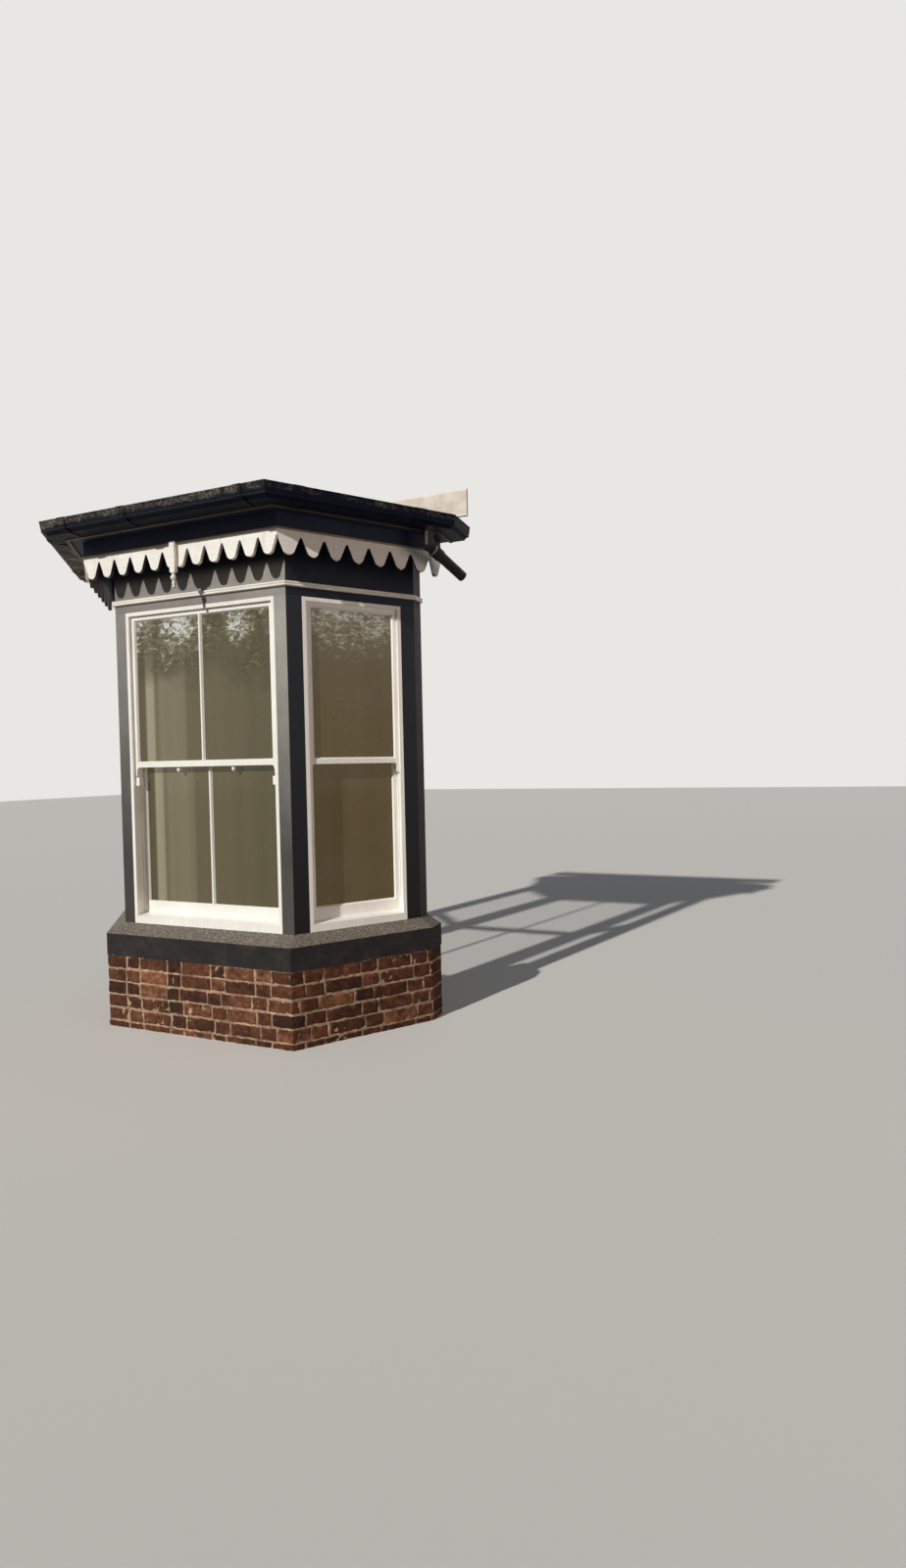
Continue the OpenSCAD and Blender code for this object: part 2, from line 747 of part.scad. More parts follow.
// Outlet pipe: a short drop below the gutter, a swelled elbow and a sloping offset back towards the wall
module pipe_run(d, clear) {
  translate([0, 0, -pipe_drop]) {
    cylinder(d = d, h = pipe_drop + clear, $fn = 48);
    sphere(d = d + elbow_swell, $fn = 48);
    rotate([0, 0, offset_turn]) rotate([0, 90 + offset_fall, 0]) {
      cylinder(d = d, h = offset_l + clear, $fn = 48);
    }
  }
}
module outlet_pipe() {
  color("#33353a") at_wall() difference() {
    outlet_at() {
      pipe_run(pipe_d, 0);
      translate([0, 0, -30]) cylinder(d = pipe_d + 2 * collar_t, h = 30, $fn = 48);
    }
    outlet_at() pipe_run(pipe_d - 8, 1);
  }
}

// Boarded and leaded roof with rolls on the hips
function side_hip_end() = -return_d / side_turn;
module boarding() {
  difference() {
    hipped(fascia_out, eaves_z + deck_t, eaves_z - fascia_t);
    hipped(fascia_out + 2, eaves_z - 2 * tan(roof_pitch), eaves_z - big / 4);
  }
}
// The boards of each slope end a clearance apart at the hips
module half_slopes(z1, z2) {
  e = gap / 2 * along;
  u = [0, gap / 2];
  o1 = -projection;
  o2 = fascia_out + 1;
  o3 = side_hip_end();
  slab([front_corner(o1) + e, side_corner(o3) - e, side_corner(o2) - e, front_corner(o2) + e], z1, z2);
  slab([side_corner(o3) + u, side_corner(o2) + u, wall_corner(o2)], z1, z2);
}
module slopes(z1, z2) {
  e = [gap / 2, 0];
  p = front_corner(-projection) - e;
  q = front_corner(fascia_out + 1) - e;
  slab([flip(p), p, q, flip(q)], z1, z2);
  half_slopes(z1, z2);
  left_hand() half_slopes(z1, z2);
}
module roof_boards() {
  color("#8a6f52") at_wall() intersection() {
    boarding();
    slopes(eaves_z - fascia_t, eaves_z + big / 4);
  }
}
function on_roof(p, o) = [p[0], p[1], roof_z + (fascia_out - o) * tan(roof_pitch)];
// A roll lies along the hip between two points of the roof surface
module roll(a, b) {
  d = b - a;
  translate(a) rotate([0, acos(d[2] / norm(d)), atan2(d[1], d[0])]) {
    cylinder(d = roll_d, h = norm(d), $fn = 32);
  }
}
module half_rolls() {
  o1 = fascia_out - 10;
  o2 = -projection - 5;
  o3 = side_hip_end() - 5;
  roll(on_roof(front_corner(o1), o1), on_roof(front_corner(o2), o2));
  roll(on_roof(side_corner(o1), o1), on_roof(side_corner(o3), o3));
}
module under_lead(o, base) hipped(fascia_out + o, roof_z - o * tan(roof_pitch), base);
module lead_roof() {
  o = lead_edge - lead_t;
  color("#7d8287") at_wall() difference() {
    union() {
      under_lead(lead_edge, eaves_z - 8);
      half_rolls();
      left_hand() half_rolls();
    }
    hipped(fascia_out + o, eaves_z + deck_t - o * tan(roof_pitch), eaves_z - big / 4);
    translate([-big / 2, 0, 0]) cube([big, big, big]);
  }
}

// Flashing band on the wall above the roof
module wall_flashing() {
  x = bay_w / 2 + gutter_out - 12;
  color("#c9c8c2") at_wall() difference() {
    translate([-x, -flashing_t, eaves_z + flashing_rise]) cube([2 * x, flashing_t, flashing_h]);
    under_lead(lead_edge, eaves_z - big / 4);
    half_rolls();
    left_hand() half_rolls();
  }
}

// Ceiling between the friezes and window board inside the frames
module ceiling() {
  z = head_z + ceiling_rise;
  color("#e9e7e0") at_wall() slab(whole_plan(-frame_d), z, z + ceiling_t);
}
module window_board() {
  z = foot_z + lower_foot;
  color("#efece4") at_wall() boards(-frame_d - board_w, -frame_d, z - board_t, z);
}

plinth_front();
plinth_left();
plinth_right();
sill_front();
sill_left();
sill_right();
corner_post_left();
corner_post_right();
wall_post_left();
wall_post_right();
frame_front();
frame_left();
frame_right();
upper_sash_front();
upper_sash_left();
upper_sash_right();
lower_sash_front();
lower_sash_left();
lower_sash_right();
glass_front();
glass_left();
glass_right();
frieze_front();
frieze_left();
frieze_right();
head_moulding();
soffit();
valance_bearer();
fascia_front();
fascia_left();
fascia_right();
valance_front();
valance_left();
valance_right();
valance_bead();
pendant();
gutter_front();
gutter_left();
gutter_right();
gutter_sockets();
outlet_pipe();
roof_boards();
lead_roof();
wall_flashing();
ceiling();
window_board();
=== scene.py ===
# %% [markdown]
# A canted bay window
#
# This scene dresses the imported model of a canted bay window: a brick plinth, a stone sill,
# painted timber posts and sashes, a scalloped valance under the eaves, a cast-iron gutter and a
# small lead roof. The shapes of the joinery come with the model. What is added here is what a
# drawing leaves out: the bricks one by one, their lumpy mortar, paint that has weathered, lichen
# and dirt. Some colours also carry painted light: sunlight, shade and sheen painted on the
# charcoal paint and elsewhere, and a painted room and reflections on the glass.

# %% Load the model as a fixed frame
import math
import random

import bmesh
import bpy
from mathutils import Matrix, Vector, noise


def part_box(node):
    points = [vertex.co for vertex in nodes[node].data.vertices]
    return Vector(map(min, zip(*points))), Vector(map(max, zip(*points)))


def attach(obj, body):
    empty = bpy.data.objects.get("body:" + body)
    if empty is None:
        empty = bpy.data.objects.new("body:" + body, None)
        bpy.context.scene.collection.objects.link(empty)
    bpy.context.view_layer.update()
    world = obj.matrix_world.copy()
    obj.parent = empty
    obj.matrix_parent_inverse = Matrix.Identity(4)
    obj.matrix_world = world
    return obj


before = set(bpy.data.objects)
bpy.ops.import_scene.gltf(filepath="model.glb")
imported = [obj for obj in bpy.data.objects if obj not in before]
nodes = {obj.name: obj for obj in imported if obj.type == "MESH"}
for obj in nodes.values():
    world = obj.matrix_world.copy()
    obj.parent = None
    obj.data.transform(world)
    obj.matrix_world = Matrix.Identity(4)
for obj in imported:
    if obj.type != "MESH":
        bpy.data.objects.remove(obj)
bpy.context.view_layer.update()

scene = bpy.context.scene

# %% [markdown]
# Measures of the bay
#
# Everything that is added sits on the model, so its places are read from the model's own boxes.
# A face of the bay is followed along a path in plan: return, canted side, front, canted side and
# return. The corner between the canted side and the return is the vertex with the lowest y on the
# outermost face.

# %% Read the plan of the brick face from its nodes
hairbreadth = 0.0005


def plan_path(front, right):
    """Corners of a face in plan, from the wall on the left round to the wall on the right."""
    front_low, front_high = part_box(front)
    right_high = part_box(right)[1]
    outer = [v.co for v in nodes[right].data.vertices if v.co.x > right_high.x - hairbreadth]
    half = [
        Vector((front_high.x, front_low.y)),
        Vector((right_high.x, min(p.y for p in outer))),
        Vector((right_high.x, right_high.y)),
    ]
    return [Vector((-p.x, p.y)) for p in reversed(half)] + half


brick_path = plan_path("plinth_front", "plinth_right")
plinth_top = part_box("plinth_front")[1].z
print("brick path:", [tuple(round(c, 3) for c in p) for p in brick_path])

# %% [markdown]
# Helpers for modelling
#
# A new primitive is shaped with the same operators that a person would use by hand. Everything
# is deselected first, because the operators act on all that is selected. At the end the place of
# a piece is moved from its object into its mesh, so that patterns on Object coordinates stay put.

# %% Helpers for selecting and joining
def switch_to(mode):
    bpy.ops.object.mode_set(mode=mode)


def deselect_all():
    if bpy.context.object and bpy.context.object.mode != "OBJECT":
        switch_to("OBJECT")
    bpy.ops.object.select_all(action="DESELECT")


def make_active(piece):
    deselect_all()
    piece.select_set(True)
    bpy.context.view_layer.objects.active = piece


def apply_place():
    bpy.ops.object.transform_apply(location=True, rotation=True, scale=True)


def select_faces(piece, test):
    """In edit mode, selects the faces whose normal passes a test."""
    mesh = bmesh.from_edit_mesh(piece.data)
    bpy.ops.mesh.select_all(action="DESELECT")
    bpy.ops.mesh.select_mode(type="FACE")
    for face in mesh.faces:
        face.select_set(test(face.normal))
    mesh.select_flush_mode()
    bmesh.update_edit_mesh(piece.data)


def cut(place, normal):
    """In edit mode, cuts through everything with a plane."""
    bpy.ops.mesh.select_all(action="SELECT")
    bpy.ops.mesh.bisect(plane_co=place, plane_no=normal)


def join(pieces, name):
    """Joins copies into one piece and moves its place into its mesh."""
    deselect_all()
    for piece in pieces:
        piece.select_set(True)
    bpy.context.view_layer.objects.active = pieces[0]
    if len(pieces) > 1:
        bpy.ops.object.join()
    made = bpy.context.object
    made.name = name
    made.data.name = name
    apply_place()
    return made


def copy_of(pattern, place, turn=0.0, size=(1, 1, 1)):
    """A copy of a pattern with its own mesh, at a place."""
    made = pattern.copy()
    made.data = pattern.data.copy()
    scene.collection.objects.link(made)
    made.location = place
    made.rotation_euler = (0, 0, turn)
    made.scale = size
    return made


def worn_block(size, edge):
    """A block with rounded edges, left in edit mode."""
    deselect_all()
    bpy.ops.mesh.primitive_cube_add(size=1, location=(0, 0, 0))
    block = bpy.context.object
    block.scale = size
    apply_place()
    switch_to("EDIT")
    bpy.ops.mesh.select_all(action="SELECT")
    bpy.ops.mesh.bevel(offset=edge, segments=2, affect="EDGES")
    return block


def apply_modifiers(piece):
    make_active(piece)
    for modifier in list(piece.modifiers):
        bpy.ops.object.modifier_apply(modifier=modifier.name)


# %% [markdown]
# Folding a flat strip round the bay
#
# Brickwork is easiest to lay out flat, as on paper: x runs along the wall, y points out of its
# face. The strip is then cut at each corner of the path and folded round it. A point that lies on
# a corner is moved along the mitre, so that both sides stay whole. Folding mirrors the strip, so
# its faces are flipped at the end to look outwards again.

# %% Fold a strip and finish a piece
behind_cut, on_cut = 1e-6, 1e-5


def fold(piece, path):
    """Cuts a flat strip at the corners of a path and wraps it round them."""
    starts = [0.0]
    for a, b in zip(path, path[1:]):
        starts.append(starts[-1] + (b - a).length)
    make_active(piece)
    switch_to("EDIT")
    for s in starts[1:-1]:
        cut((s, 0, 0), (1, 0, 0))
    bpy.ops.mesh.select_all(action="SELECT")
    bpy.ops.mesh.flip_normals()
    switch_to("OBJECT")
    along = [(b - a).normalized() for a, b in zip(path, path[1:])]
    out = [Vector((d.y, -d.x)) for d in along]
    mitre = {k: (out[k - 1] + out[k]) / (1 + out[k - 1].dot(out[k])) for k in range(1, len(out))}
    for v in piece.data.vertices:
        k = max(i for i in range(len(along)) if v.co.x >= starts[i] - behind_cut or i == 0)
        corner = next((i for i in mitre if abs(v.co.x - starts[i]) < on_cut), None)
        if corner:
            place = path[corner] + mitre[corner] * v.co.y
        else:
            place = path[k] + along[k] * (v.co.x - starts[k]) + out[k] * v.co.y
        v.co = (place.x, place.y, v.co.z)


def finish(piece, material, smooth=40):
    """Gives a piece its material and puts it on the bay."""
    piece.data.materials.clear()
    piece.data.materials.append(material)
    make_active(piece)
    bpy.ops.object.shade_smooth_by_angle(angle=math.radians(smooth))
    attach(piece, "root")
    print(piece.name, len(piece.data.polygons), "faces")


# %% [markdown]
# Helpers for materials
#
# Colours are written as sRGB hex values and turned to linear in one place. One function adds any
# node with its settings and its links. It is given the kind without the word ShaderNode, such as
# TexNoise for ShaderNodeTexNoise, and a socket by its name or its number. On a Mix node, which
# always mixes colours here, socket 0 is the factor and 6 and 7 are the two colours. The ranges of a
# MapRange node are written as pairs, From and To. Patterns read Object coordinates, which on these
# pieces are metres in the model's frame, so a noise scale of 20 has lumps about 50 mm across.

# %% Helpers for materials
def linear(colour):
    """sRGB hex to linear RGBA."""
    values = [int(colour[i : i + 2], 16) / 255 for i in (1, 3, 5)]
    return [v / 12.92 if v <= 0.04045 else ((v + 0.055) / 1.055) ** 2.4 for v in values] + [1.0]


def result_of(source):
    """The socket that a node gives its result on. A socket is its own result."""
    if not hasattr(source, "outputs"):
        return source
    return source.outputs[2 if source.bl_idname == "ShaderNodeMix" else 0]


def add(tree, kind, settings, links=None):
    """Adds a node, gives its properties and sockets their values, and links its sockets."""
    made = tree.nodes.new("ShaderNode" + kind)
    if kind == "Mix":
        made.data_type = "RGBA"
    stops = settings.pop("stops", None)
    for end in settings.keys() & {"From", "To"}:
        settings[end + " Min"], settings[end + " Max"] = settings.pop(end)
    for key, value in settings.items():
        if isinstance(key, int) or key in made.inputs:
            made.inputs[key].default_value = value
        else:
            setattr(made, key, value)
    if stops:
        ramp = made.color_ramp
        while len(ramp.elements) < len(stops):
            ramp.elements.new(0.5)
        for element, (position, colour) in zip(ramp.elements, stops):
            element.position = position
            element.color = linear(colour)
    for key, source in (links or {}).items():
        tree.links.new(result_of(source), made.inputs[key])
    return made


def new_material(name, roughness, specular=0.5, settings=None):
    """A material with a Principled shader. Returns it with its tree, shader and Object output."""
    made = bpy.data.materials.new(name)
    made.use_nodes = True
    tree = made.node_tree
    shader = tree.nodes["Principled BSDF"]
    shader.inputs["Roughness"].default_value = roughness
    shader.inputs["Specular IOR Level"].default_value = specular
    for key, value in (settings or {}).items():
        shader.inputs[key].default_value = value
    return made, tree, shader, add(tree, "TexCoord", {}).outputs["Object"]


def plug(shader, colour, relief=None, roughness=None, strength=0.5, depth=0.003):
    """Links a material's last nodes to its shader, with the relief through a Bump node."""
    tree = shader.id_data
    tree.links.new(result_of(colour), shader.inputs["Base Color"])
    if roughness:
        tree.links.new(result_of(roughness), shader.inputs["Roughness"])
    if relief:
        bump = add(tree, "Bump", {"Strength": strength, "Distance": depth}, {"Height": relief})
        tree.links.new(result_of(bump), shader.inputs["Normal"])


def cover(material, *names):
    """Gives nodes of the model their material."""
    for name in names:
        nodes[name].data.materials.clear()
        nodes[name].data.materials.append(material)
    print(material.name, "on", ", ".join(names))


def sides(name):
    return [f"{name}_{side}" for side in ("front", "left", "right")]


# %% [markdown]
# Oil paint on timber
#
# The joinery is softwood under many coats of gloss paint. Old gloss is not flat: brush marks run
# along the grain, the colour clouds where it has chalked, and grit and chips catch the light. The
# same recipe serves every paint here. Brush marks are 2 to 3 mm wide on the real thing and are
# drawn about 6 mm wide so that they show. They run upright on posts and level on boards.

# %% Gloss paint
def gloss_paint(name, pale, dark, upright, chip, chips=0.69, gloss=0.36, specular=0.5):
    """Brushed gloss paint. Pale and dark are the two ends of its clouded colour."""
    made, tree, shader, place = new_material(name, gloss, specular)
    cloud = add(tree, "TexNoise", {"Scale": 2.6, "Detail": 6.0, "Roughness": 0.62}, {"Vector": place})
    body = add(tree, "ValToRGB", {"stops": [(0.32, dark), (0.68, pale)]}, {0: cloud})
    stretch = (150, 150, 4) if upright else (4, 4, 150)
    lined = add(tree, "Mapping", {"Scale": stretch}, {"Vector": place})
    brush = add(tree, "TexNoise", {"Detail": 4.0, "Roughness": 0.6, "Scale": 1.0}, {"Vector": lined})
    streak = add(tree, "MapRange", {"From": (0.35, 0.65), "To": (0.93, 1.04)}, {0: brush})
    streaked = add(tree, "Mix", {"blend_type": "MULTIPLY", 0: 1.0}, {6: body, 7: streak})
    grit = add(tree, "TexNoise", {"Scale": 46.0, "Detail": 8.0, "Roughness": 0.72}, {"Vector": place})
    flake = add(tree, "MapRange", {"From": (chips, chips + 0.015)}, {0: grit})
    chipped = add(tree, "Mix", {7: linear(chip)}, {0: flake, 6: streaked})
    worn = add(tree, "MapRange", {"From": (0.3, 0.7), "To": (gloss - 0.06, gloss + 0.16)}, {0: cloud})
    lift = add(tree, "Math", {"operation": "MULTIPLY_ADD", 1: -0.5}, {0: flake, 2: brush})
    plug(shader, chipped, lift, worn, strength=0.35, depth=0.0012)
    return made, tree, shader, place, chipped


# %% [markdown]
# Which way a face looks
#
# Posts and friezes are one timber from outside to inside, but they are painted charcoal to the
# street and cream to the room. A face looks into the room when its normal points towards the
# middle of the bay. In plan this is the dot product of the normal with the line from the middle
# to the face. Light and shade are also painted on the charcoal: faces that look towards the sun
# at the front left are painted a lit mid grey, with the sheen of the gloss painted in most of all
# high up, and the faces turned away are painted in shade, darker towards the foot. Towards the
# far left the painted light is weaker, as painted shade. A second dot product, with the
# direction of the sun, finds the faces that are painted lit.

# %% Masks for the room side and the painted sunlit side
room_middle = (0, 0.45, 0)
painted_light_from = (-0.53, -0.85, 0)


def room_mask(tree, place):
    """1 on faces that look into the room."""
    arm = add(tree, "VectorMath", {"operation": "SUBTRACT", 1: room_middle}, {0: place})
    flat = add(tree, "VectorMath", {"operation": "MULTIPLY", 1: (1, 1, 0)}, {0: arm})
    normal = add(tree, "NewGeometry", {}).outputs["Normal"]
    turned = add(tree, "VectorMath", {"operation": "DOT_PRODUCT"}, {0: flat, 1: normal})
    return add(tree, "Math", {"operation": "LESS_THAN", 1: -0.001}, {0: turned.outputs["Value"]})


def painted_sunlight_mask(tree, place, brightest_at, darkest_at):
    """1 on faces turned to the sun, where light is painted, fading between two heights."""
    normal = add(tree, "NewGeometry", {}).outputs["Normal"]
    turned = add(tree, "VectorMath", {"operation": "DOT_PRODUCT", 1: painted_light_from}, {0: normal})
    side = add(tree, "MapRange", {"From": (0.3, 0.7)}, {0: turned.outputs["Value"]})
    split = add(tree, "SeparateXYZ", {}, {0: place}).outputs
    # Weaker towards the far left: painted shade there.
    across = add(tree, "MapRange", {"From": (-0.75, 0.75), "To Min": 0.57}, {0: split["X"]})
    side = add(tree, "Math", {"operation": "MULTIPLY"}, {0: side, 1: across})
    level = add(
        tree, "MapRange", {"From": (darkest_at[0], brightest_at[0]), "To": (darkest_at[1], brightest_at[1])}, {0: split["Z"]}
    )
    return add(tree, "Math", {"operation": "MULTIPLY"}, {0: side, 1: level})


def charcoal(recipe, shade_colour, low_shade_colour, room_colour, brightest_at, darkest_at):
    """Paints the lit colour where the paint faces the sun and shade elsewhere, and the room's colour
    inside.
    """
    made, tree, shader, place, body = recipe
    mask = painted_sunlight_mask(tree, place, brightest_at, darkest_at)
    split = add(tree, "SeparateXYZ", {}, {0: place}).outputs
    height = add(tree, "MapRange", {"From": (0.7, 2.6)}, {0: split["Z"]})
    # Painted shade on faces turned from the sun, darker towards the foot.
    painted_shade = add(tree, "Mix", {6: linear(low_shade_colour), 7: linear(shade_colour)}, {0: height})
    outside = add(tree, "Mix", {}, {0: mask, 6: painted_shade, 7: body})
    both = add(tree, "Mix", {7: linear(room_colour)}, {0: room_mask(tree, place), 6: outside})
    plug(shader, both)
    return made


# %% [markdown]
# The colours of the joinery
#
# Posts and frieze are a charcoal gloss. Frames, sashes and the double bead are an old
# cream-white. The eaves are blue-black, and so is all that hangs under the gutter. The thin bead
# over the valance has gone a dull beige.

# %% Paints on posts, frames and eaves
# The pale and dark colours of the post and frieze paints are the charcoal painted as lit by the sun, with
# the sheen of its gloss. The shade colours are painted shade, and on the frieze the band under the valance
# is painted shadow.
charcoal_in_painted_shade, charcoal_in_painted_shade_low, blue_in_painted_shadow, room_cream = "#212127", "#0d0c0c", "#11131f", "#e6e1d5"
post_grey = charcoal(
    gloss_paint("post_charcoal_painted_sunlight", "#bbb7ad", "#9b9790", True, "#b9b4a8", gloss=0.46, specular=0.25),
    charcoal_in_painted_shade, charcoal_in_painted_shade_low, room_cream, brightest_at=(2.85, 1.0), darkest_at=(1.2, 0.16),
)
frieze_grey = charcoal(
    gloss_paint(
        "frieze_charcoal_painted_sunlight", "#aca69e", "#8f8a84", False, "#b9b3a7",
        chips=0.70, gloss=0.5, specular=0.25,
    ),
    blue_in_painted_shadow, blue_in_painted_shadow, room_cream, brightest_at=(2.99, 1.0), darkest_at=(3.05, 0.0),
)
sash_cream = gloss_paint(
    "sash_cream_gloss", "#fffdf6", "#f5f1e8", True, "#bfb5a2", chips=0.72, gloss=0.32
)[0]
moulding_cream = gloss_paint(
    "moulding_cream_gloss", "#fffcf4", "#f0ebe0", False, "#b0a693", chips=0.71, gloss=0.32
)[0]
eaves_black = gloss_paint(
    "eaves_blue_black", "#363b4e", "#292d3d", False, "#33343a", chips=0.72, gloss=0.5, specular=0.15
)[0]
bead_beige = gloss_paint(
    "bead_dull_beige", "#9d8c74", "#7f705c", False, "#6f6353", chips=0.68, gloss=0.5
)[0]

cover(post_grey, "corner_post_left", "corner_post_right", "wall_post_left", "wall_post_right")
cover(frieze_grey, *sides("frieze"))
cover(sash_cream, *sides("frame"), *sides("upper_sash"), *sides("lower_sash"))
cover(moulding_cream, "head_moulding", "window_board")
cover(eaves_black, "soffit", "valance_bearer")
cover(bead_beige, "valance_bead")

# %% [markdown]
# The valance and its pendant
#
# The scalloped boards were sawn from softwood and painted cream. Rain runs off the bead above and
# leaves faint runs down the boards, and the paint has crazed in fine cracks. Runs are noise
# stretched along the height, and crazing is the cell edges of a Voronoi pattern about 40 mm
# across. Both are kept faint, because from the street the boards read as bright cream. Their
# backs are painted dark brown, which is painted shade: the backs are seen against the light.

# %% Weathered cream on the valance
valance_cream, tree, shader, place, body = gloss_paint(
    "valance_weathered_cream", "#fffdf7", "#f7f0e4", False, "#c5b8a3", gloss=0.42
)
run_map = add(tree, "Mapping", {"Scale": (26, 26, 2.2)}, {"Vector": place})
runs = add(tree, "TexNoise", {"Scale": 1.0, "Detail": 5.0, "Roughness": 0.65}, {"Vector": run_map})
run_mask = add(tree, "MapRange", {"From": (0.54, 0.76), "To Max": 0.34}, {0: runs})
stained = add(tree, "Mix", {7: linear("#b7a98f")}, {0: run_mask, 6: body})
cells = add(tree, "TexVoronoi", {"feature": "DISTANCE_TO_EDGE", "Scale": 24.0}, {"Vector": place})
crack = add(tree, "MapRange", {"From": (0.0, 0.012), "To": (0.25, 0.0)}, {0: cells})
cracked = add(tree, "Mix", {7: linear("#9a8c78")}, {0: crack, 6: stained})
# The backs that face the room are painted dark: painted shade.
back_in_painted_shade = add(tree, "Mix", {7: linear("#332b27")}, {0: room_mask(tree, place), 6: cracked})
plug(shader, back_in_painted_shade)
cover(valance_cream, *sides("valance"), "pendant")

# %% [markdown]
# The fascia
#
# The fascia has the same blue-black gloss as the soffit. Along its lower arris a painted
# highlight, where the arris catches the light, draws a thin dull line round the whole bay. The
# line is picked by height: the lowest few millimetres of the board.

# %% Fascia with a painted highlight on its arris
fascia_black, tree, shader, place, body = gloss_paint(
    "fascia_black_painted_highlight", "#0e1224", "#080a15", False, "#33343a", chips=0.72, gloss=0.48, specular=0.15
)
fascia_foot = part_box("fascia_front")[0].z
highlight_band, ragged_by = 0.005, 0.006
split = add(tree, "SeparateXYZ", {}, {0: place}).outputs
ragged = add(tree, "TexNoise", {"Scale": 30.0, "Detail": 4.0}, {"Vector": place})
edge = add(
    tree, "Math",
    {"operation": "MULTIPLY_ADD", 1: ragged_by, 2: fascia_foot + highlight_band - ragged_by / 2}, {0: ragged},
)
below = add(tree, "Math", {"operation": "LESS_THAN"}, {0: split["Z"], 1: edge})
# Painted highlight along the lower arris.
arris_highlight = add(tree, "Mix", {7: linear("#5a544d")}, {0: below, 6: body})
plug(shader, arris_highlight)
cover(fascia_black, *sides("fascia"))
print("fascia foot at", round(fascia_foot, 3))

# %% [markdown]
# The stone sill
#
# The sill is sandstone under a dark masonry paint. Its nose and returns keep the paint, which has
# gone brown and blotchy, while the top and the upper arris are drawn in pale, gritty stone
# colours. The top is told from the nose by the normal: where it points up, the colour is mostly the pale
# one.
# Inside, the stone is plastered over.

# %% Painted stone
plaster_white = "#dcd7cb"
sill_stone, tree, shader, place = new_material("sill_painted_sandstone", 0.82, specular=0.3)
weathering, arris_half = 0.059, 0.007
nose_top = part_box("sill_front")[1].z - weathering
facing = add(tree, "SeparateXYZ", {}, {0: add(tree, "NewGeometry", {}).outputs["Normal"]}).outputs
split = add(tree, "SeparateXYZ", {}, {0: place}).outputs
cloud = add(tree, "TexNoise", {"Scale": 9.0, "Detail": 10.0, "Roughness": 0.72}, {"Vector": place})
grain = add(tree, "TexNoise", {"Scale": 95.0, "Detail": 7.0, "Roughness": 0.78}, {"Vector": place})
paint = add(
    tree, "ValToRGB",
    {"stops": [(0.3, "#141213"), (0.5, "#221e20"), (0.62, "#312926"), (0.75, "#4d3b31")]}, {0: cloud},
)
stone = add(
    tree, "ValToRGB",
    {"stops": [(0.36, "#2b2723"), (0.46, "#635b52"), (0.55, "#867d71"), (0.64, "#b0a799")]}, {0: grain},
)
litter = add(tree, "TexVoronoi", {"Scale": 55.0}, {"Vector": place})
crumb = add(tree, "MapRange", {"From": (0.16, 0.22), "To": (0.75, 0.0)}, {0: litter})
stone = add(tree, "Mix", {7: linear("#3a332e")}, {0: crumb, 6: stone})
arris = add(
    tree, "MapRange",
    {"From": (nose_top - arris_half, nose_top + arris_half), "To Max": 0.34}, {0: split["Z"]},
)
reach = add(tree, "Math", {"operation": "MULTIPLY_ADD", 1: 1.4, 2: -0.7}, {0: cloud})
speck = add(tree, "Math", {"operation": "MULTIPLY_ADD", 1: 0.5, 2: -0.25}, {0: grain})
worn = facing["Z"]
for more in (reach, arris, speck):
    worn = add(tree, "Math", {"operation": "ADD"}, {0: worn, 1: more})
# Paler stone colours where the normal points up, on the upper arris and in specks.
paler_top = add(tree, "MapRange", {"From": (0.40, 0.66)}, {0: worn})
mixed = add(tree, "Mix", {}, {0: paler_top, 6: paint, 7: stone})
sided = add(tree, "Mix", {7: linear(plaster_white)}, {0: room_mask(tree, place), 6: mixed})
relief = add(tree, "Math", {"operation": "MULTIPLY_ADD", 1: 0.5}, {0: grain, 2: cloud})
plug(shader, sided, relief, strength=0.9, depth=0.006)
cover(sill_stone, *sides("sill"))

# %% [markdown]
# Lime mortar
#
# The plinth is laid in wide, uneven joints of lime mortar with coarse sand in it, gone tan with
# dirt and sooty in the hollows. The inside of the wall is plastered, which the same mask as on the
# posts picks out.

# %% Lime mortar outside, plaster inside
lime_mortar, tree, shader, place = new_material("lime_mortar", 0.95, specular=0.25)
lumps = add(tree, "TexNoise", {"Scale": 34.0, "Detail": 9.0, "Roughness": 0.72}, {"Vector": place})
sooty = add(tree, "TexNoise", {"Scale": 5.0, "Detail": 7.0, "Roughness": 0.65}, {"Vector": place})
tone = add(
    tree, "ValToRGB", {"stops": [(0.3, "#7d6049"), (0.46, "#a98b70"), (0.62, "#cfb496")]}, {0: lumps}
)
soot = add(tree, "MapRange", {"From": (0.47, 0.68), "To Max": 0.7}, {0: sooty})
dirty = add(tree, "Mix", {7: linear("#5c4331")}, {0: soot, 6: tone})
sided = add(tree, "Mix", {7: linear(plaster_white)}, {0: room_mask(tree, place), 6: dirty})
plug(shader, sided, lumps, strength=0.9, depth=0.005)
cover(lime_mortar, *sides("plinth"))

# %% [markdown]
# Old bricks
#
# Hand-made stock bricks were burnt in clamps, so each has its own colour, from tan to plum, and
# all of them are brown with soot here, close to the ground. A number from 0 to 1, stored on the
# faces of each brick, picks its colour from a ramp, and noise at three sizes breaks it up.

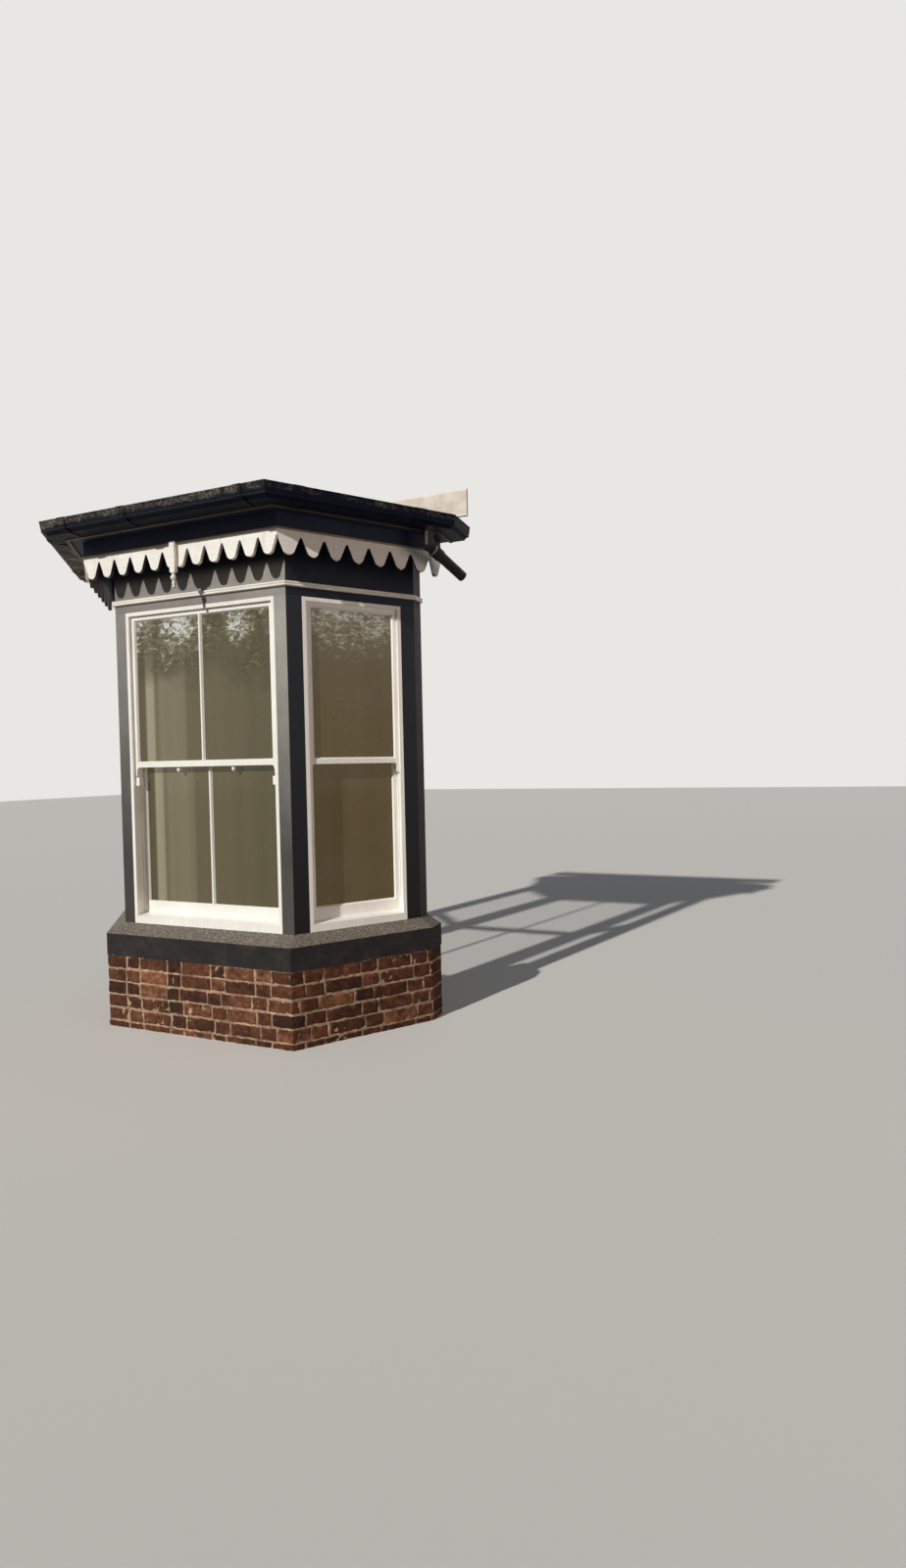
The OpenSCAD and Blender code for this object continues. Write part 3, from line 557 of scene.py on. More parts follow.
# %% Sooty stock brick
old_brick, tree, shader, place = new_material("sooty_stock_brick", 0.92, specular=0.25)
tone = add(tree, "Attribute", {"attribute_name": "tone"})
cloud = add(tree, "TexNoise", {"Scale": 26.0, "Detail": 10.0, "Roughness": 0.78}, {"Vector": place})
sand = add(tree, "TexNoise", {"Scale": 260.0, "Detail": 4.0, "Roughness": 0.75}, {"Vector": place})
drift = add(tree, "Math", {"operation": "MULTIPLY_ADD", 1: 1.9, 2: -0.95}, {0: cloud})
at = add(tree, "Math", {"operation": "ADD"}, {0: tone.outputs["Fac"], 1: drift})
clay = add(
    tree, "ValToRGB",
    {"stops": [(0.0, "#22120d"), (0.22, "#402217"), (0.5, "#623a27"), (0.75, "#815038"), (1.0, "#a97957")]},
    {0: at},
)
fleck = add(tree, "MapRange", {"From": (0.60, 0.68), "To Max": 0.6}, {0: sand})
flecked = add(tree, "Mix", {7: linear("#b48a60")}, {0: fleck, 6: clay})
patch = add(tree, "TexNoise", {"Scale": 7.0, "Detail": 9.0, "Roughness": 0.72}, {"Vector": place})
soot = add(tree, "MapRange", {"From": (0.46, 0.62), "To Max": 0.78}, {0: patch})
sooted = add(tree, "Mix", {7: linear("#2c1d15")}, {0: soot, 6: flecked})
relief = add(tree, "Math", {"operation": "MULTIPLY_ADD", 1: 0.4}, {0: sand, 2: cloud})
plug(shader, sooted, relief, strength=0.9, depth=0.005)
print("brick:", old_brick.name)

# %% [markdown]
# Laying the bricks
#
# One brick is modelled from a cube: its edges are bevelled and it is cut across a few times, so
# that its outline can be worn out of true. Copies are laid in a flat strip in courses of
# stretchers and headers, as in Flemish bond, each a little out of line. A cloud texture pushes
# every point a few millimetres, in all directions, and the strip is folded round the bay. A brick
# that crosses a corner becomes a squint brick. Nothing is let through the ground or the wall.

# %% Lay the bricks in a flat strip and fold it round the plinth
course, bed, perpend = 0.090, 0.010, 0.009
lengths = {"stretcher": 0.224, "header": 0.109}
cuts = {"stretcher": 10, "header": 5}
first_at = {"stretcher": -0.06, "header": -0.17}
proud, sunk = 0.003, 0.012
worn_edge, end_gap, top_gap = 0.005, 0.005, 0.002
least_length, least_height = 0.02, 0.012
play = {
    "length": (-0.009, 0.009), "height": (0.93, 1.0), "level": (-0.003, 0.002),
    "face": (-0.0015, 0.0015), "turn": (-0.008, 0.008), "gap": (-0.003, 0.004),
}
darkest, lightest, usual = 0.1, 0.9, 0.42
level_cuts = (-0.18, 0.18)
path_length = sum((b - a).length for a, b in zip(brick_path, brick_path[1:]))


def brick_pattern(length, parts):
    """One brick with worn edges, cut into parts along its length and into three in height."""
    pattern = worn_block((length, proud + sunk, course - bed), worn_edge)
    for i in range(1, parts):
        cut(((i / parts - 0.5) * length, 0, 0), (1, 0, 0))
    for share in level_cuts:
        cut((0, 0, share * course), (0, 0, 1))
    switch_to("OBJECT")
    return pattern


def keep_off_ground_and_wall(piece):
    for v in piece.data.vertices:
        v.co.y = min(v.co.y, brick_path[0].y)
        v.co.z = max(v.co.z, 0.0)


rng = random.Random(7)
patterns = {kind: brick_pattern(lengths[kind], cuts[kind]) for kind in lengths}
bricks, laid = [], []
for row in range(math.ceil(plinth_top / course)):
    top = plinth_top - row * course - top_gap
    tall = min(course - bed, top)
    if tall < least_height:
        continue
    laid.append([])
    kind = "stretcher" if row % 2 else "header"
    x = first_at[kind]
    while x < path_length:
        length = lengths[kind] + rng.uniform(*play["length"])
        start, end = max(x, end_gap), min(x + length, path_length - end_gap)
        if end - start > least_length:
            high = tall * rng.uniform(*play["height"])
            middle = top - tall / 2 + rng.uniform(*play["level"])
            face = (proud - sunk) / 2 + rng.uniform(*play["face"])
            size = ((end - start) / lengths[kind], 1, high / (course - bed))
            place = ((start + end) / 2, face, middle)
            brick = copy_of(patterns[kind], place, rng.uniform(*play["turn"]), size)
            tone = brick.data.attributes.new("tone", "FLOAT", "FACE")
            shade = rng.triangular(darkest, lightest, usual)
            tone.data.foreach_set("value", [shade] * len(brick.data.polygons))
            bricks.append(brick)
            laid[-1].append((start, end, middle - high / 2, middle + high / 2))
        x += length + perpend + rng.uniform(*play["gap"])
        kind = "header" if kind == "stretcher" else "stretcher"
brickwork = join(bricks, "brick_courses")
print("bricks laid:", len(bricks))
for pattern in patterns.values():
    bpy.data.objects.remove(pattern)

wear = bpy.data.textures.new("brick_wear", "CLOUDS")
wear.cloud_type = "COLOR"
wear.noise_scale = 0.028
wear.noise_depth = 3
push = brickwork.modifiers.new("wear", "DISPLACE")
push.texture = wear
push.texture_coords = "LOCAL"
push.direction = "RGB_TO_XYZ"
push.strength = 0.014
apply_modifiers(brickwork)
fold(brickwork, brick_path)
keep_off_ground_and_wall(brickwork)
finish(brickwork, old_brick)

# %% [markdown]
# Lumpy mortar
#
# Hand-struck lime mortar is never flush: it stands out in ridges and smears over the edges of the
# bricks. A sheet of small squares lies over the whole plinth. In the joints it stands 1 or 2 mm
# proud, over a brick it dips behind the face within a centimetre, and noise moves it up and down,
# so it comes through at the edges here and there.

# %% Mortar between the bricks
cell = 0.0085
joint_proud, ridge_height, hidden_depth = 0.0010, 0.0030, 0.011
edge_cover, slope_width = 0.002, 0.010
lumps_per_metre, softness, lacunarity, octaves = 30, 0.8, 2.0, 3
deselect_all()
bpy.ops.mesh.primitive_grid_add(
    x_subdivisions=round(path_length / cell), y_subdivisions=round(plinth_top / cell), size=1,
    location=(path_length / 2, 0, plinth_top / 2), rotation=(-math.pi / 2, 0, 0),
)
mortar = bpy.context.object
mortar.scale = (path_length, plinth_top, 1)
mortar = join([mortar], "mortar_joints")
for v in mortar.data.vertices:
    row = min(len(laid) - 1, int((plinth_top - v.co.z) / course))
    inside = max(
        min(v.co.x - x1, x2 - v.co.x, v.co.z - z1, z2 - v.co.z)
        for near in laid[max(0, row - 1) : row + 2] for x1, x2, z1, z2 in near
    )
    lump = Vector((v.co.x, 0, v.co.z)) * lumps_per_metre
    ridge = noise.fractal(lump, softness, lacunarity, octaves)
    dip = min(1.0, max(0.0, (inside + edge_cover) / slope_width))
    v.co.y = joint_proud + ridge_height * ridge - hidden_depth * dip
fold(mortar, brick_path)
thick = mortar.modifiers.new("thick", "SOLIDIFY")
thick.thickness = 0.014
thick.offset = -1
apply_modifiers(mortar)
keep_off_ground_and_wall(mortar)
finish(mortar, lime_mortar, smooth=60)

# %% [markdown]
# The gutter
#
# The gutter is cast iron, painted black long ago. Grey-brown lichen has grown in patches on the
# upper face, where it stays damp, and the hollow below is still black. The lichen is held to the
# top by height and broken into patches by noise. It is thinned towards the right-hand end, which
# is painted shade. Round the left end it spreads down over the hollow and underneath, where it is
# paler and browner: partly lichen and partly painted light, the warm light that comes up from
# the wall. Its crust is told from the paint by roughness as well as by colour. The paint's sheen
# is tinted blue, a painted reflection of the sky.

# %% Cast iron with lichen
# The blue specular tint is a painted reflection of the sky.
gutter_iron, tree, shader, place = new_material(
    "gutter_cast_iron_lichen_and_painted_light", 0.6, specular=0.13, settings={"Specular Tint": (0.65, 0.76, 1.0, 1.0)}
)
gutter_low, gutter_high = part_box("gutter_front")
split = add(tree, "SeparateXYZ", {}, {0: place}).outputs
patch = add(tree, "TexNoise", {"Scale": 12.0, "Detail": 11.0, "Roughness": 0.78}, {"Vector": place})
fine = add(tree, "TexNoise", {"Scale": 70.0, "Detail": 8.0, "Roughness": 0.78}, {"Vector": place})
black = add(tree, "ValToRGB", {"stops": [(0.35, "#03050e"), (0.65, "#080c1b")]}, {0: patch})
rust_mask = add(tree, "MapRange", {"From": (0.60, 0.70), "To Max": 0.5}, {0: fine})
rusty = add(tree, "Mix", {7: linear("#2b2a24")}, {0: rust_mask, 6: black})
lichen = add(
    tree, "ValToRGB",
    {"stops": [
        (0.36, "#161615"), (0.46, "#35342e"), (0.54, "#5f5b51"), (0.62, "#868076"), (0.74, "#aaa59b"),
    ]},
    {0: fine},
)
climb = add(
    tree, "MapRange",
    {"From": (gutter_high.z - 0.070, gutter_high.z - 0.034), "To": (-0.3, 0.05)}, {0: split["Z"]},
)
# Less lichen towards the right end: painted shade.
right_painted_shade = add(
    tree, "MapRange",
    {"From": (gutter_high.x - 0.12, gutter_high.x + 0.04), "To": (0.0, -0.09)}, {0: split["X"]},
)
# Paler on the left end's undersides: lichen and painted bounce light from the wall.
left_lichen_and_bounce = add(
    tree, "MapRange", {"From": (gutter_low.x + 0.36, gutter_low.x - 0.02), "To Max": 0.28}, {0: split["X"]}
)
facing = add(tree, "SeparateXYZ", {}, {0: add(tree, "NewGeometry", {}).outputs["Normal"]}).outputs
under = add(tree, "MapRange", {"From": (-0.15, -0.6), "To": (0.2, 1.0)}, {0: facing["Z"]})
left_lichen_and_bounce = add(tree, "Math", {"operation": "MULTIPLY"}, {0: left_lichen_and_bounce, 1: under})
growth = patch
for more in (climb, right_painted_shade, left_lichen_and_bounce):
    growth = add(tree, "Math", {"operation": "ADD"}, {0: growth, 1: more})
lichen_mask = add(tree, "MapRange", {"From": (0.46, 0.56)}, {0: growth})
paler_in_bounce = add(tree, "Math", {"operation": "MULTIPLY", 1: 2.0}, {0: left_lichen_and_bounce})
lichen = add(tree, "Mix", {7: linear("#8f8782")}, {0: paler_in_bounce, 6: lichen})
grown = add(tree, "Mix", {}, {0: lichen_mask, 6: rusty, 7: lichen})
dull = add(tree, "MapRange", {"To": (0.5, 0.95)}, {0: lichen_mask})
scale = add(tree, "Math", {"operation": "MULTIPLY_ADD", 1: 0.8}, {0: fine, 2: patch})
crust = add(tree, "Math", {"operation": "ADD"}, {0: scale, 1: lichen_mask})
plug(shader, grown, crust, dull, strength=0.8)
cover(gutter_iron, *sides("gutter"), "gutter_sockets")

# %% [markdown]
# The outlet pipe
#
# The short pipe under the gutter kept more of its black paint, because no rain reaches it. It has
# a dull gloss with brown rust blooming through it.

# %% Black paint on an iron pipe
pipe_iron, tree, shader, place = new_material("pipe_black_cast_iron", 0.45, specular=0.25)
bloom = add(tree, "TexNoise", {"Scale": 22.0, "Detail": 9.0, "Roughness": 0.72}, {"Vector": place})
body = add(
    tree, "ValToRGB", {"stops": [(0.4, "#0b0a0c"), (0.58, "#161314"), (0.72, "#36271f")]}, {0: bloom}
)
dull = add(tree, "MapRange", {"From": (0.4, 0.7), "To": (0.38, 0.85)}, {0: bloom})
plug(shader, body, bloom, dull, depth=0.002)
cover(pipe_iron, "outlet_pipe")

# %% [markdown]
# The lead roof
#
# Sheet lead weathers to a soft mid grey, clouded with a pale bloom of carbonate. It is a metal
# under a dull skin, so it is only part metallic, and it is dressed by hand over the boards, which
# leaves shallow dents.

# %% Sheet lead
roof_lead, tree, shader, place = new_material("weathered_sheet_lead", 0.62, settings={"Metallic": 0.35})
cloud = add(tree, "TexNoise", {"Scale": 5.0, "Detail": 8.0, "Roughness": 0.66}, {"Vector": place})
dents = add(tree, "TexNoise", {"Scale": 18.0, "Detail": 3.0}, {"Vector": place})
body = add(
    tree, "ValToRGB", {"stops": [(0.3, "#5f6468"), (0.55, "#7e8387"), (0.75, "#a7aaac")]}, {0: cloud}
)
plug(shader, body, dents, strength=0.6, depth=0.006)
cover(roof_lead, "lead_roof")

# %% [markdown]
# The cement band on the wall
#
# Where the roof meets the house, a band of pale cement render covers the upstand of the lead. It
# is trowelled flat, has gone blotchy, and its edges are brighter where they were made good.

# %% Cement render
cement_band, tree, shader, place = new_material("flashing_cement_render", 0.92)
band_low, band_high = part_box("wall_flashing")
split = add(tree, "SeparateXYZ", {}, {0: place}).outputs
blotch = add(tree, "TexNoise", {"Scale": 8.0, "Detail": 10.0, "Roughness": 0.7}, {"Vector": place})
body = add(tree, "ValToRGB", {"stops": [(0.3, "#c6bbad"), (0.5, "#e1d6c9"), (0.7, "#efe6db")]}, {0: blotch})
middle = (band_low.z + band_high.z) / 2
half = (band_high.z - band_low.z) / 2
away = add(tree, "Math", {"operation": "SUBTRACT", 1: middle}, {0: split["Z"]})
height = add(tree, "Math", {"operation": "ABSOLUTE"}, {0: away})
rim = add(tree, "MapRange", {"From": (half - 0.016, half - 0.008), "To Max": 0.7}, {0: height})
edged = add(tree, "Mix", {7: linear("#f8f2e9")}, {0: rim, 6: body})
plug(shader, edged, blotch, strength=0.6, depth=0.004)
cover(cement_band, "wall_flashing")

# %% [markdown]
# Roof boards and plaster
#
# These show only from behind and below. The boards are sawn softwood with darker growth rings,
# drawn as a stretched noise, and the ceiling is plaster under matt white distemper.

# %% Sawn boards and plaster
sawn_board, tree, shader, place = new_material("sawn_softwood", 0.85)
grain_map = add(tree, "Mapping", {"Scale": (3, 60, 60)}, {"Vector": place})
rings = add(tree, "TexNoise", {"Scale": 1.0, "Detail": 6.0, "Distortion": 0.6}, {"Vector": grain_map})
body = add(tree, "ValToRGB", {"stops": [(0.35, "#6e5338"), (0.65, "#a5835a")]}, {0: rings})
plug(shader, body, rings, strength=0.4, depth=0.002)
cover(sawn_board, "roof_boards")

plaster, tree, shader, place = new_material("ceiling_plaster", 0.9)
trowel = add(tree, "TexNoise", {"Scale": 6.0, "Detail": 7.0}, {"Vector": place})
body = add(tree, "ValToRGB", {"stops": [(0.35, "#d9d5ca"), (0.65, "#e8e5dc")]}, {0: trowel})
plug(shader, body, trowel, strength=0.3, depth=0.002)
cover(plaster, "ceiling")

# %% [markdown]
# The panes
#
# By day a window is darker than the street, and drawn glass mirrors it; both are painted into
# the pane's colour here. A pane is almost closed: a warm, dim olive, the painted shade of the room
# behind, with upright bands on the left of the front where a curtain hangs in that painted room.
# Towards the head of the window a painted reflection of a tree breaks the colour into dark
# leaves, with a few gaps of pale sky between its branches, under a very smooth surface, and the
# pane is painted brighter towards its head. The canted side gets a deeper yellow, and its painted
# reflection reaches lower. Part of the colour is given as a weak emission, painted light that
# makes the pane glow, so a shadow that falls across the pane only partly dims it. All this is
# what the street sees. From the room the same pane is clear, so the faces that are met from
# inside let nearly all light through.

# %% Window glass
pane_glass, tree, shader, place = new_material(
    "glass_painted_room_and_reflection", 0.06, specular=0.2, settings={"IOR": 1.52, "Emission Strength": 0.8}
)
glass_low, glass_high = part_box("glass_front")
side_low, side_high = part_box("glass_right")
side_middle = (side_low + side_high) / 2
reflected_sky_gaps = [
    ((-0.14, glass_low.y, glass_high.z - 0.09), 0.22), ((0.30, glass_low.y, glass_high.z - 0.11), 0.17),
    ((side_middle.x - 0.02, side_middle.y - 0.02, glass_high.z - 0.20), 0.34),
]
painted_room_width, pane_level = 2.0, 0.58
closed, clear = 0.99, 0.12
split = add(tree, "SeparateXYZ", {}, {0: place}).outputs
across = add(tree, "MapRange", {"From": (glass_low.x, glass_low.x + painted_room_width)}, {0: split["X"]})
# The dim room behind the pane is painted shade, with a curtain's bands on the left.
painted_room = add(
    tree, "ValToRGB",
    {"stops": [
        (0.0, "#575038"), (0.032, "#605840"), (0.040, "#9c947e"), (0.068, "#988f78"), (0.078, "#6e664b"),
        (0.1, "#80775f"), (0.2, "#7c735b"), (0.215, "#696047"), (0.6, "#5d563e"), (0.66, "#635434"),
        (1.0, "#594a2c"),
    ]},
    {0: across},
)
band_map = add(tree, "Mapping", {"Scale": (9, 9, 0.15)}, {"Vector": place})
bands = add(tree, "TexNoise", {"Scale": 1.0, "Detail": 3.0}, {"Vector": band_map})
folds = add(tree, "MapRange", {"From": (0.3, 0.7), "To": (0.92, 1.08)}, {0: bands})
shaded = add(tree, "Mix", {"blend_type": "MULTIPLY", 0: 1.0}, {6: painted_room, 7: folds})
crown = add(tree, "TexNoise", {"Scale": 2.4, "Detail": 4.0, "Roughness": 0.6}, {"Vector": place})
rise = add(
    tree, "MapRange", {"From": (glass_high.z - 0.62, glass_high.z), "To": (-0.32, 0.26)}, {0: split["Z"]}
)
canted = add(tree, "MapRange", {"From": (0.68, 0.75), "To Max": 0.16}, {0: split["X"]})
rise = add(tree, "Math", {"operation": "ADD"}, {0: rise, 1: canted})
tree_top = add(tree, "Math", {"operation": "ADD"}, {0: crown, 1: rise})
# Painted reflection of a tree, reaching lower on the canted side.
painted_reflection_mask = add(tree, "MapRange", {"From": (0.34, 0.64), "To Max": 0.85}, {0: tree_top})
leaf_map = add(tree, "Mapping", {"Scale": (22, 22, 38)}, {"Vector": place})
leaves = add(
    tree, "TexNoise",
    {"Scale": 1.0, "Detail": 9.0, "Roughness": 0.72, "Distortion": 0.8}, {"Vector": leaf_map},
)
gaps = add(tree, "Math", {"operation": "MULTIPLY_ADD", 1: 0.6, 2: -0.44}, {0: tree_top})
lit = add(tree, "Math", {"operation": "ADD"}, {0: leaves, 1: gaps})
lit = add(tree, "Math", {"operation": "MULTIPLY_ADD", 1: -0.5}, {0: canted, 2: lit})
for middle, reach in reflected_sky_gaps:
    away = add(tree, "VectorMath", {"operation": "DISTANCE", 1: middle}, {0: place})
    opening = add(tree, "MapRange", {"From": (0.04, reach), "To": (0.13, 0.0)}, {0: away.outputs["Value"]})
    lit = add(tree, "Math", {"operation": "ADD"}, {0: lit, 1: opening})
reflected_foliage = add(
    tree, "ValToRGB",
    {"stops": [(0.42, "#4a4631"), (0.52, "#6b664f"), (0.58, "#9a9580"), (0.64, "#d5dad7")]}, {0: lit},
)
hazed = add(tree, "Math", {"operation": "MULTIPLY", 1: 2.8}, {0: canted})
reflected_foliage = add(tree, "Mix", {7: linear("#7a6b54")}, {0: hazed, 6: reflected_foliage})
painted_reflection = add(tree, "Mix", {}, {0: painted_reflection_mask, 6: shaded, 7: reflected_foliage})
dust = add(tree, "TexVoronoi", {"Scale": 26.0}, {"Vector": place})
mote = add(tree, "MapRange", {"From": (0.05, 0.09), "To": (0.5, 0.0)}, {0: dust})
dust_and_painted_light = add(tree, "Mix", {7: linear("#a59b80")}, {0: mote, 6: painted_reflection})
# Brighter towards the head of the pane: painted light.
painted_light_by_height = add(
    tree, "MapRange",
    {"From": (glass_low.z, glass_high.z), "To": (pane_level * 0.88, pane_level)}, {0: split["Z"]},
)
dust_and_painted_light = add(tree, "Mix", {"blend_type": "MULTIPLY", 0: 1.0}, {6: dust_and_painted_light, 7: painted_light_by_height})
ripple = add(tree, "TexNoise", {"Scale": 3.0, "Detail": 1.0}, {"Vector": place})
plug(shader, dust_and_painted_light, ripple, strength=0.15, depth=0.004)
# The pane's colour also glows as a weak emission: painted light.
tree.links.new(result_of(dust_and_painted_light), shader.inputs["Emission Color"])
behind = add(tree, "NewGeometry", {}).outputs["Backfacing"]
from_room = add(tree, "Math", {"operation": "MAXIMUM"}, {0: room_mask(tree, place), 1: behind})
opacity = add(tree, "MapRange", {"To": (closed, clear)}, {0: from_room})
tree.links.new(result_of(opacity), shader.inputs["Alpha"])
cover(pane_glass, *sides("glass"))

# %% [markdown]
# The pulls under the meeting rail
#
# Two small turned knobs hang under the meeting rail of the front upper sash, to pull it down by.
# Each is turned about its upright axis: a disc is extruded and scaled a few times for the neck
# and the ball, and a subdivision surface rounds it off.

# %% Turned knobs
sash_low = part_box("upper_sash_front")[0]
rail_foot, pull_in, pull_x = 0.071, 0.026, 0.228
pull_profile = [
    (0.0, 0.006), (0.005, 0.004), (0.010, 0.011), (0.021, 0.015), (0.033, 0.012), (0.041, 0.005),
]


def turned(profile, place, segments=20):
    """A solid turned about an upright axis. The profile is a list of depths and radii."""
    deselect_all()
    bpy.ops.mesh.primitive_circle_add(
        vertices=segments, radius=profile[0][1], fill_type="NGON", location=(0, 0, 0),
        rotation=(math.pi, 0, 0),
    )
    apply_place()
    made = bpy.context.object
    switch_to("EDIT")
    bpy.ops.mesh.select_all(action="SELECT")
    bpy.ops.mesh.flip_normals()
    for (above, radius), (depth, wider) in zip(profile, profile[1:]):
        bpy.ops.mesh.extrude_region_move(TRANSFORM_OT_translate={"value": (0, 0, above - depth)})
        bpy.ops.transform.resize(value=(wider / radius, wider / radius, 1))
    bpy.ops.mesh.select_all(action="SELECT")
    bpy.ops.mesh.normals_make_consistent(inside=False)
    switch_to("OBJECT")
    made.location = place
    return made


pull_places = [(x, sash_low.y + pull_in, sash_low.z + rail_foot) for x in (-pull_x, pull_x)]
pulls = join([turned(pull_profile, place) for place in pull_places], "sash_pulls")
rounder = pulls.modifiers.new("rounder", "SUBSURF")
rounder.levels = 2
apply_modifiers(pulls)
finish(pulls, sash_cream, smooth=60)

# %% [markdown]
# The stops under the horns
#
# Under each horn of the front upper sash a small block is screwed to the frame, so that the sash
# can't drop. It is a cube with a generous bevel and a shallow seat, where its screw was driven
# in and painted over, sunk in its face.

# %% Stop blocks
stop_size = (0.042, 0.038, 0.058)
stop_x, stop_in, stop_gap = 0.5728, 0.018, 0.001
stop_edge, seat_margin, seat_depth = 0.005, 0.010, 0.0015
squarely = 0.9
stops = []
for x in (-stop_x, stop_x):
    block = worn_block(stop_size, stop_edge)
    select_faces(block, lambda normal: normal.y < -squarely)
    bpy.ops.mesh.inset(thickness=seat_margin)
    bpy.ops.transform.translate(value=(0, seat_depth, 0))
    switch_to("OBJECT")
    block.location = (x, sash_low.y + stop_in, sash_low.z - stop_gap - stop_size[2] / 2)
    stops.append(block)
stops = join(stops, "sash_stops")
finish(stops, sash_cream)

# %% [markdown]
# The socket on the outlet pipe
#
# The sloping pipe goes into a short socket with a raised rim, and a thin ring of old putty shows
# at its mouth. Each is a cylinder whose ends are inset and opened, and a bore is bridged between
# the two holes, so that the wall has a thickness and slips over the pipe.

# %% Sleeve round the sloping pipe
outlet_elbow = Vector((1.4895, 0.2357, 3.144))
outlet_fall = Vector((0.3487, 0.8366, -0.4226))
sleeve_bore, sleeve_edge = 0.0335, 0.0015
body_tube, rim_tube, putty_tube = (0.052, 0.112, 0.0395), (0.046, 0.060, 0.0430), (0.040, 0.047, 0.0385)


def sleeve(start, end, radius):
    """A tube round the sloping pipe, between two distances from its elbow."""
    deselect_all()
    bpy.ops.mesh.primitive_cylinder_add(vertices=48, radius=radius, depth=end - start, location=(0, 0, 0))
    made = bpy.context.object
    switch_to("EDIT")
    select_faces(made, lambda normal: abs(normal.z) > squarely)
    bpy.ops.mesh.inset(thickness=radius - sleeve_bore)
    bpy.ops.mesh.delete(type="FACE")
    bpy.ops.mesh.select_mode(type="EDGE")
    bpy.ops.mesh.select_all(action="DESELECT")
    bpy.ops.mesh.select_non_manifold(extend=False)
    bpy.ops.mesh.bridge_edge_loops()
    bpy.ops.mesh.select_all(action="SELECT")
    bpy.ops.mesh.normals_make_consistent(inside=False)
    switch_to("OBJECT")
    soft = made.modifiers.new("soft", "BEVEL")
    soft.width = sleeve_edge
    soft.segments = 2
    apply_modifiers(made)
    made.location = outlet_elbow + outlet_fall * (start + end) / 2
    made.rotation_euler = outlet_fall.to_track_quat("Z", "Y").to_euler()
    return made


socket = join([sleeve(*body_tube), sleeve(*rim_tube)], "pipe_socket")
finish(socket, pipe_iron)
putty, tree, shader, place = new_material("pipe_joint_putty", 0.8)
crumbs = add(tree, "TexNoise", {"Scale": 90.0, "Detail": 6.0, "Roughness": 0.7}, {"Vector": place})
body = add(tree, "ValToRGB", {"stops": [(0.35, "#8d857b"), (0.65, "#c4bcb0")]}, {0: crumbs})
plug(shader, body, crumbs, strength=0.6, depth=0.002)
ring = join([sleeve(*putty_tube)], "pipe_putty")
finish(ring, putty)

# %% [markdown]
# The room to work in
#
# The bay stands on a plain pale floor in soft light. A warm sun from the front left is low enough
# to light the front and to throw the scallops' shadows on the posts, and it only grazes the
# canted side, which stays dark. A large, weak lamp on the right and a small one low on the left
# stand for the warm light that comes back from all around. The pale world fills the rest. The
# floor looks pale but returns little light, so that the underside of the eaves stays dark.

# %% Floor, world and lamps
def new_object(name, data):
    made = bpy.data.objects.new(name, data)
    scene.collection.objects.link(made)
    return made


deselect_all()
bpy.ops.mesh.primitive_plane_add(size=80, location=(0, 0, -0.001))
floor = bpy.context.object
floor.name = "floor"
floor_material, tree, shader, _ = new_material("pale_floor", 0.9)
rays = add(tree, "LightPath", {})
floor_tone = add(
    tree, "Mix", {6: linear("#e4e2dd"), 7: linear("#4c4c4a")}, {0: rays.outputs["Is Diffuse Ray"]}
)
plug(shader, floor_tone)
floor.data.materials.append(floor_material)

world = bpy.data.worlds.new("pale_world")
scene.world = world
world.use_nodes = True
tree = world.node_tree
rays = add(tree, "LightPath", {})
seen = add(
    tree, "Math",
    {"operation": "MAXIMUM"}, {0: rays.outputs["Is Camera Ray"], 1: rays.outputs["Is Glossy Ray"]},
)
seen = add(tree, "Math", {"operation": "MAXIMUM"}, {0: seen, 1: rays.outputs["Is Transmission Ray"]})
sky_fill = add(tree, "Mix", {6: linear("#dde6f2"), 7: linear("#f3f2ef")}, {0: seen})
strength = add(tree, "MapRange", {"To": (0.13, 0.9)}, {0: seen})
tree.links.new(result_of(sky_fill), tree.nodes["Background"].inputs["Color"])
tree.links.new(result_of(strength), tree.nodes["Background"].inputs["Strength"])

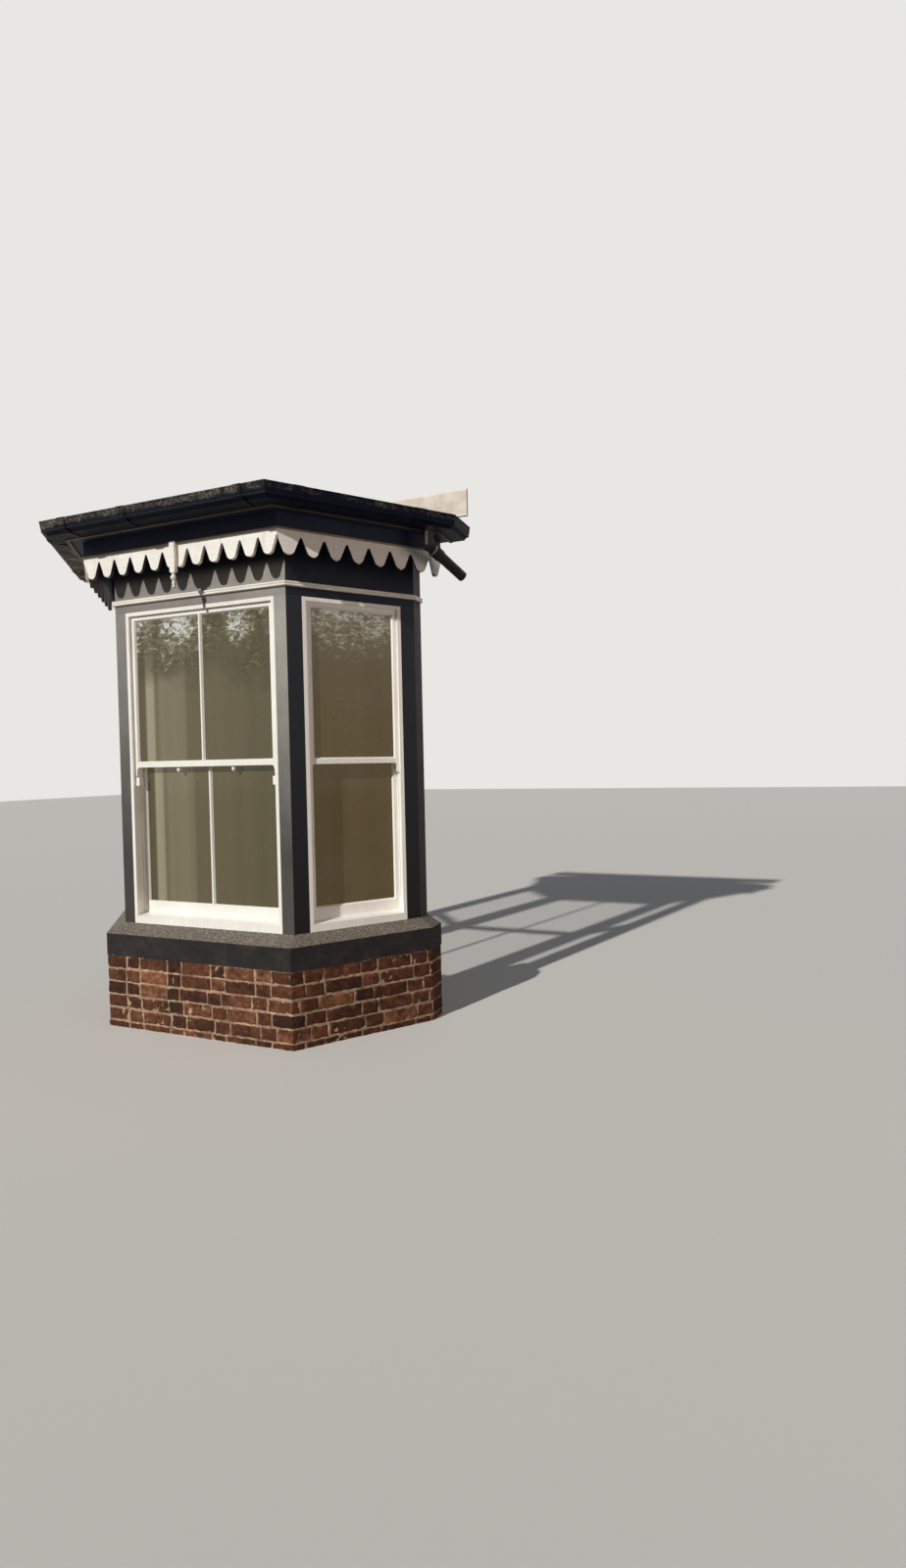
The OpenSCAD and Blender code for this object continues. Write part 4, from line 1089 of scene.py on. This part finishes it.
lamp_data = bpy.data.lights.new("low_sun", "SUN")
lamp_data.energy = 3.1
lamp_data.angle = math.radians(1.2)
lamp_data.color = (1.0, 0.97, 0.93)
lamp = new_object("low_sun", lamp_data)
from_left, sun_height = math.radians(21), math.radians(29.4)
level_part = math.cos(sun_height)
towards = Vector((
    math.sin(from_left) * level_part, math.cos(from_left) * level_part, -math.sin(sun_height)
))
lamp.rotation_euler = towards.to_track_quat("-Z", "Y").to_euler()
print("sun shines towards", tuple(round(c, 2) for c in towards))


def return_lamp(name, place, aim, energy, size):
    """An area lamp for warm light that comes back from the side. It shows in no reflection."""
    data = bpy.data.lights.new(name, "AREA")
    data.energy = energy
    data.size = size
    data.spread = math.radians(60)
    data.color = (1.0, 0.75, 0.62)
    made = new_object(name, data)
    made.location = place
    reach = Vector(aim) - made.location
    made.rotation_euler = reach.to_track_quat("-Z", "Y").to_euler()
    made.visible_glossy = made.visible_camera = False
    print(name, "from", round(reach.length, 2), "m")


return_lamp("warm_return", place=(8.5, -1.2, 2.0), aim=(1.0, 0.1, 2.1), energy=15, size=3.0)
return_lamp("left_return", place=(-2.9, 0.2, 1.0), aim=(-1.3, -0.1, 3.27), energy=6, size=0.8)

# %% [markdown]
# The camera
#
# The camera's place, turn and focal length were worked out from the edges of the bay in the
# photograph. It stands to the right, a little below the meeting rails, and is turned to the left
# and slightly down. Its optical centre lies to the right of the picture's middle, which the shift
# of the lens allows for.

# %% Camera
focal_px, centre_px = 671.4, (524.8, 794.8)
image_px, sensor_mm = (924, 1600), 36
camera_at = (3.342, -3.61435, 1.738)
turn_left, look_down, lean = math.radians(18.69), math.radians(1.31), math.radians(1.085)
camera_data = bpy.data.cameras.new("camera")
camera = new_object("camera", camera_data)
scene.camera = camera
camera_data.sensor_width = sensor_mm
camera_data.lens = sensor_mm * focal_px / image_px[1]
camera_data.shift_x = -(centre_px[0] - image_px[0] / 2) / image_px[1]
camera_data.shift_y = (centre_px[1] - image_px[1] / 2) / image_px[1]
camera_data.clip_start, camera_data.clip_end = 0.1, 200
turned_camera = (
    Matrix.Rotation(turn_left, 4, "Z")
    @ Matrix.Rotation(math.pi / 2 - look_down, 4, "X")
    @ Matrix.Rotation(-lean, 4, "Z")
)
camera.matrix_world = Matrix.Translation(camera_at) @ turned_camera
print("lens:", round(camera_data.lens, 2))
print("shift:", round(camera_data.shift_x, 4), round(camera_data.shift_y, 4))

scene.view_settings.view_transform = "Standard"
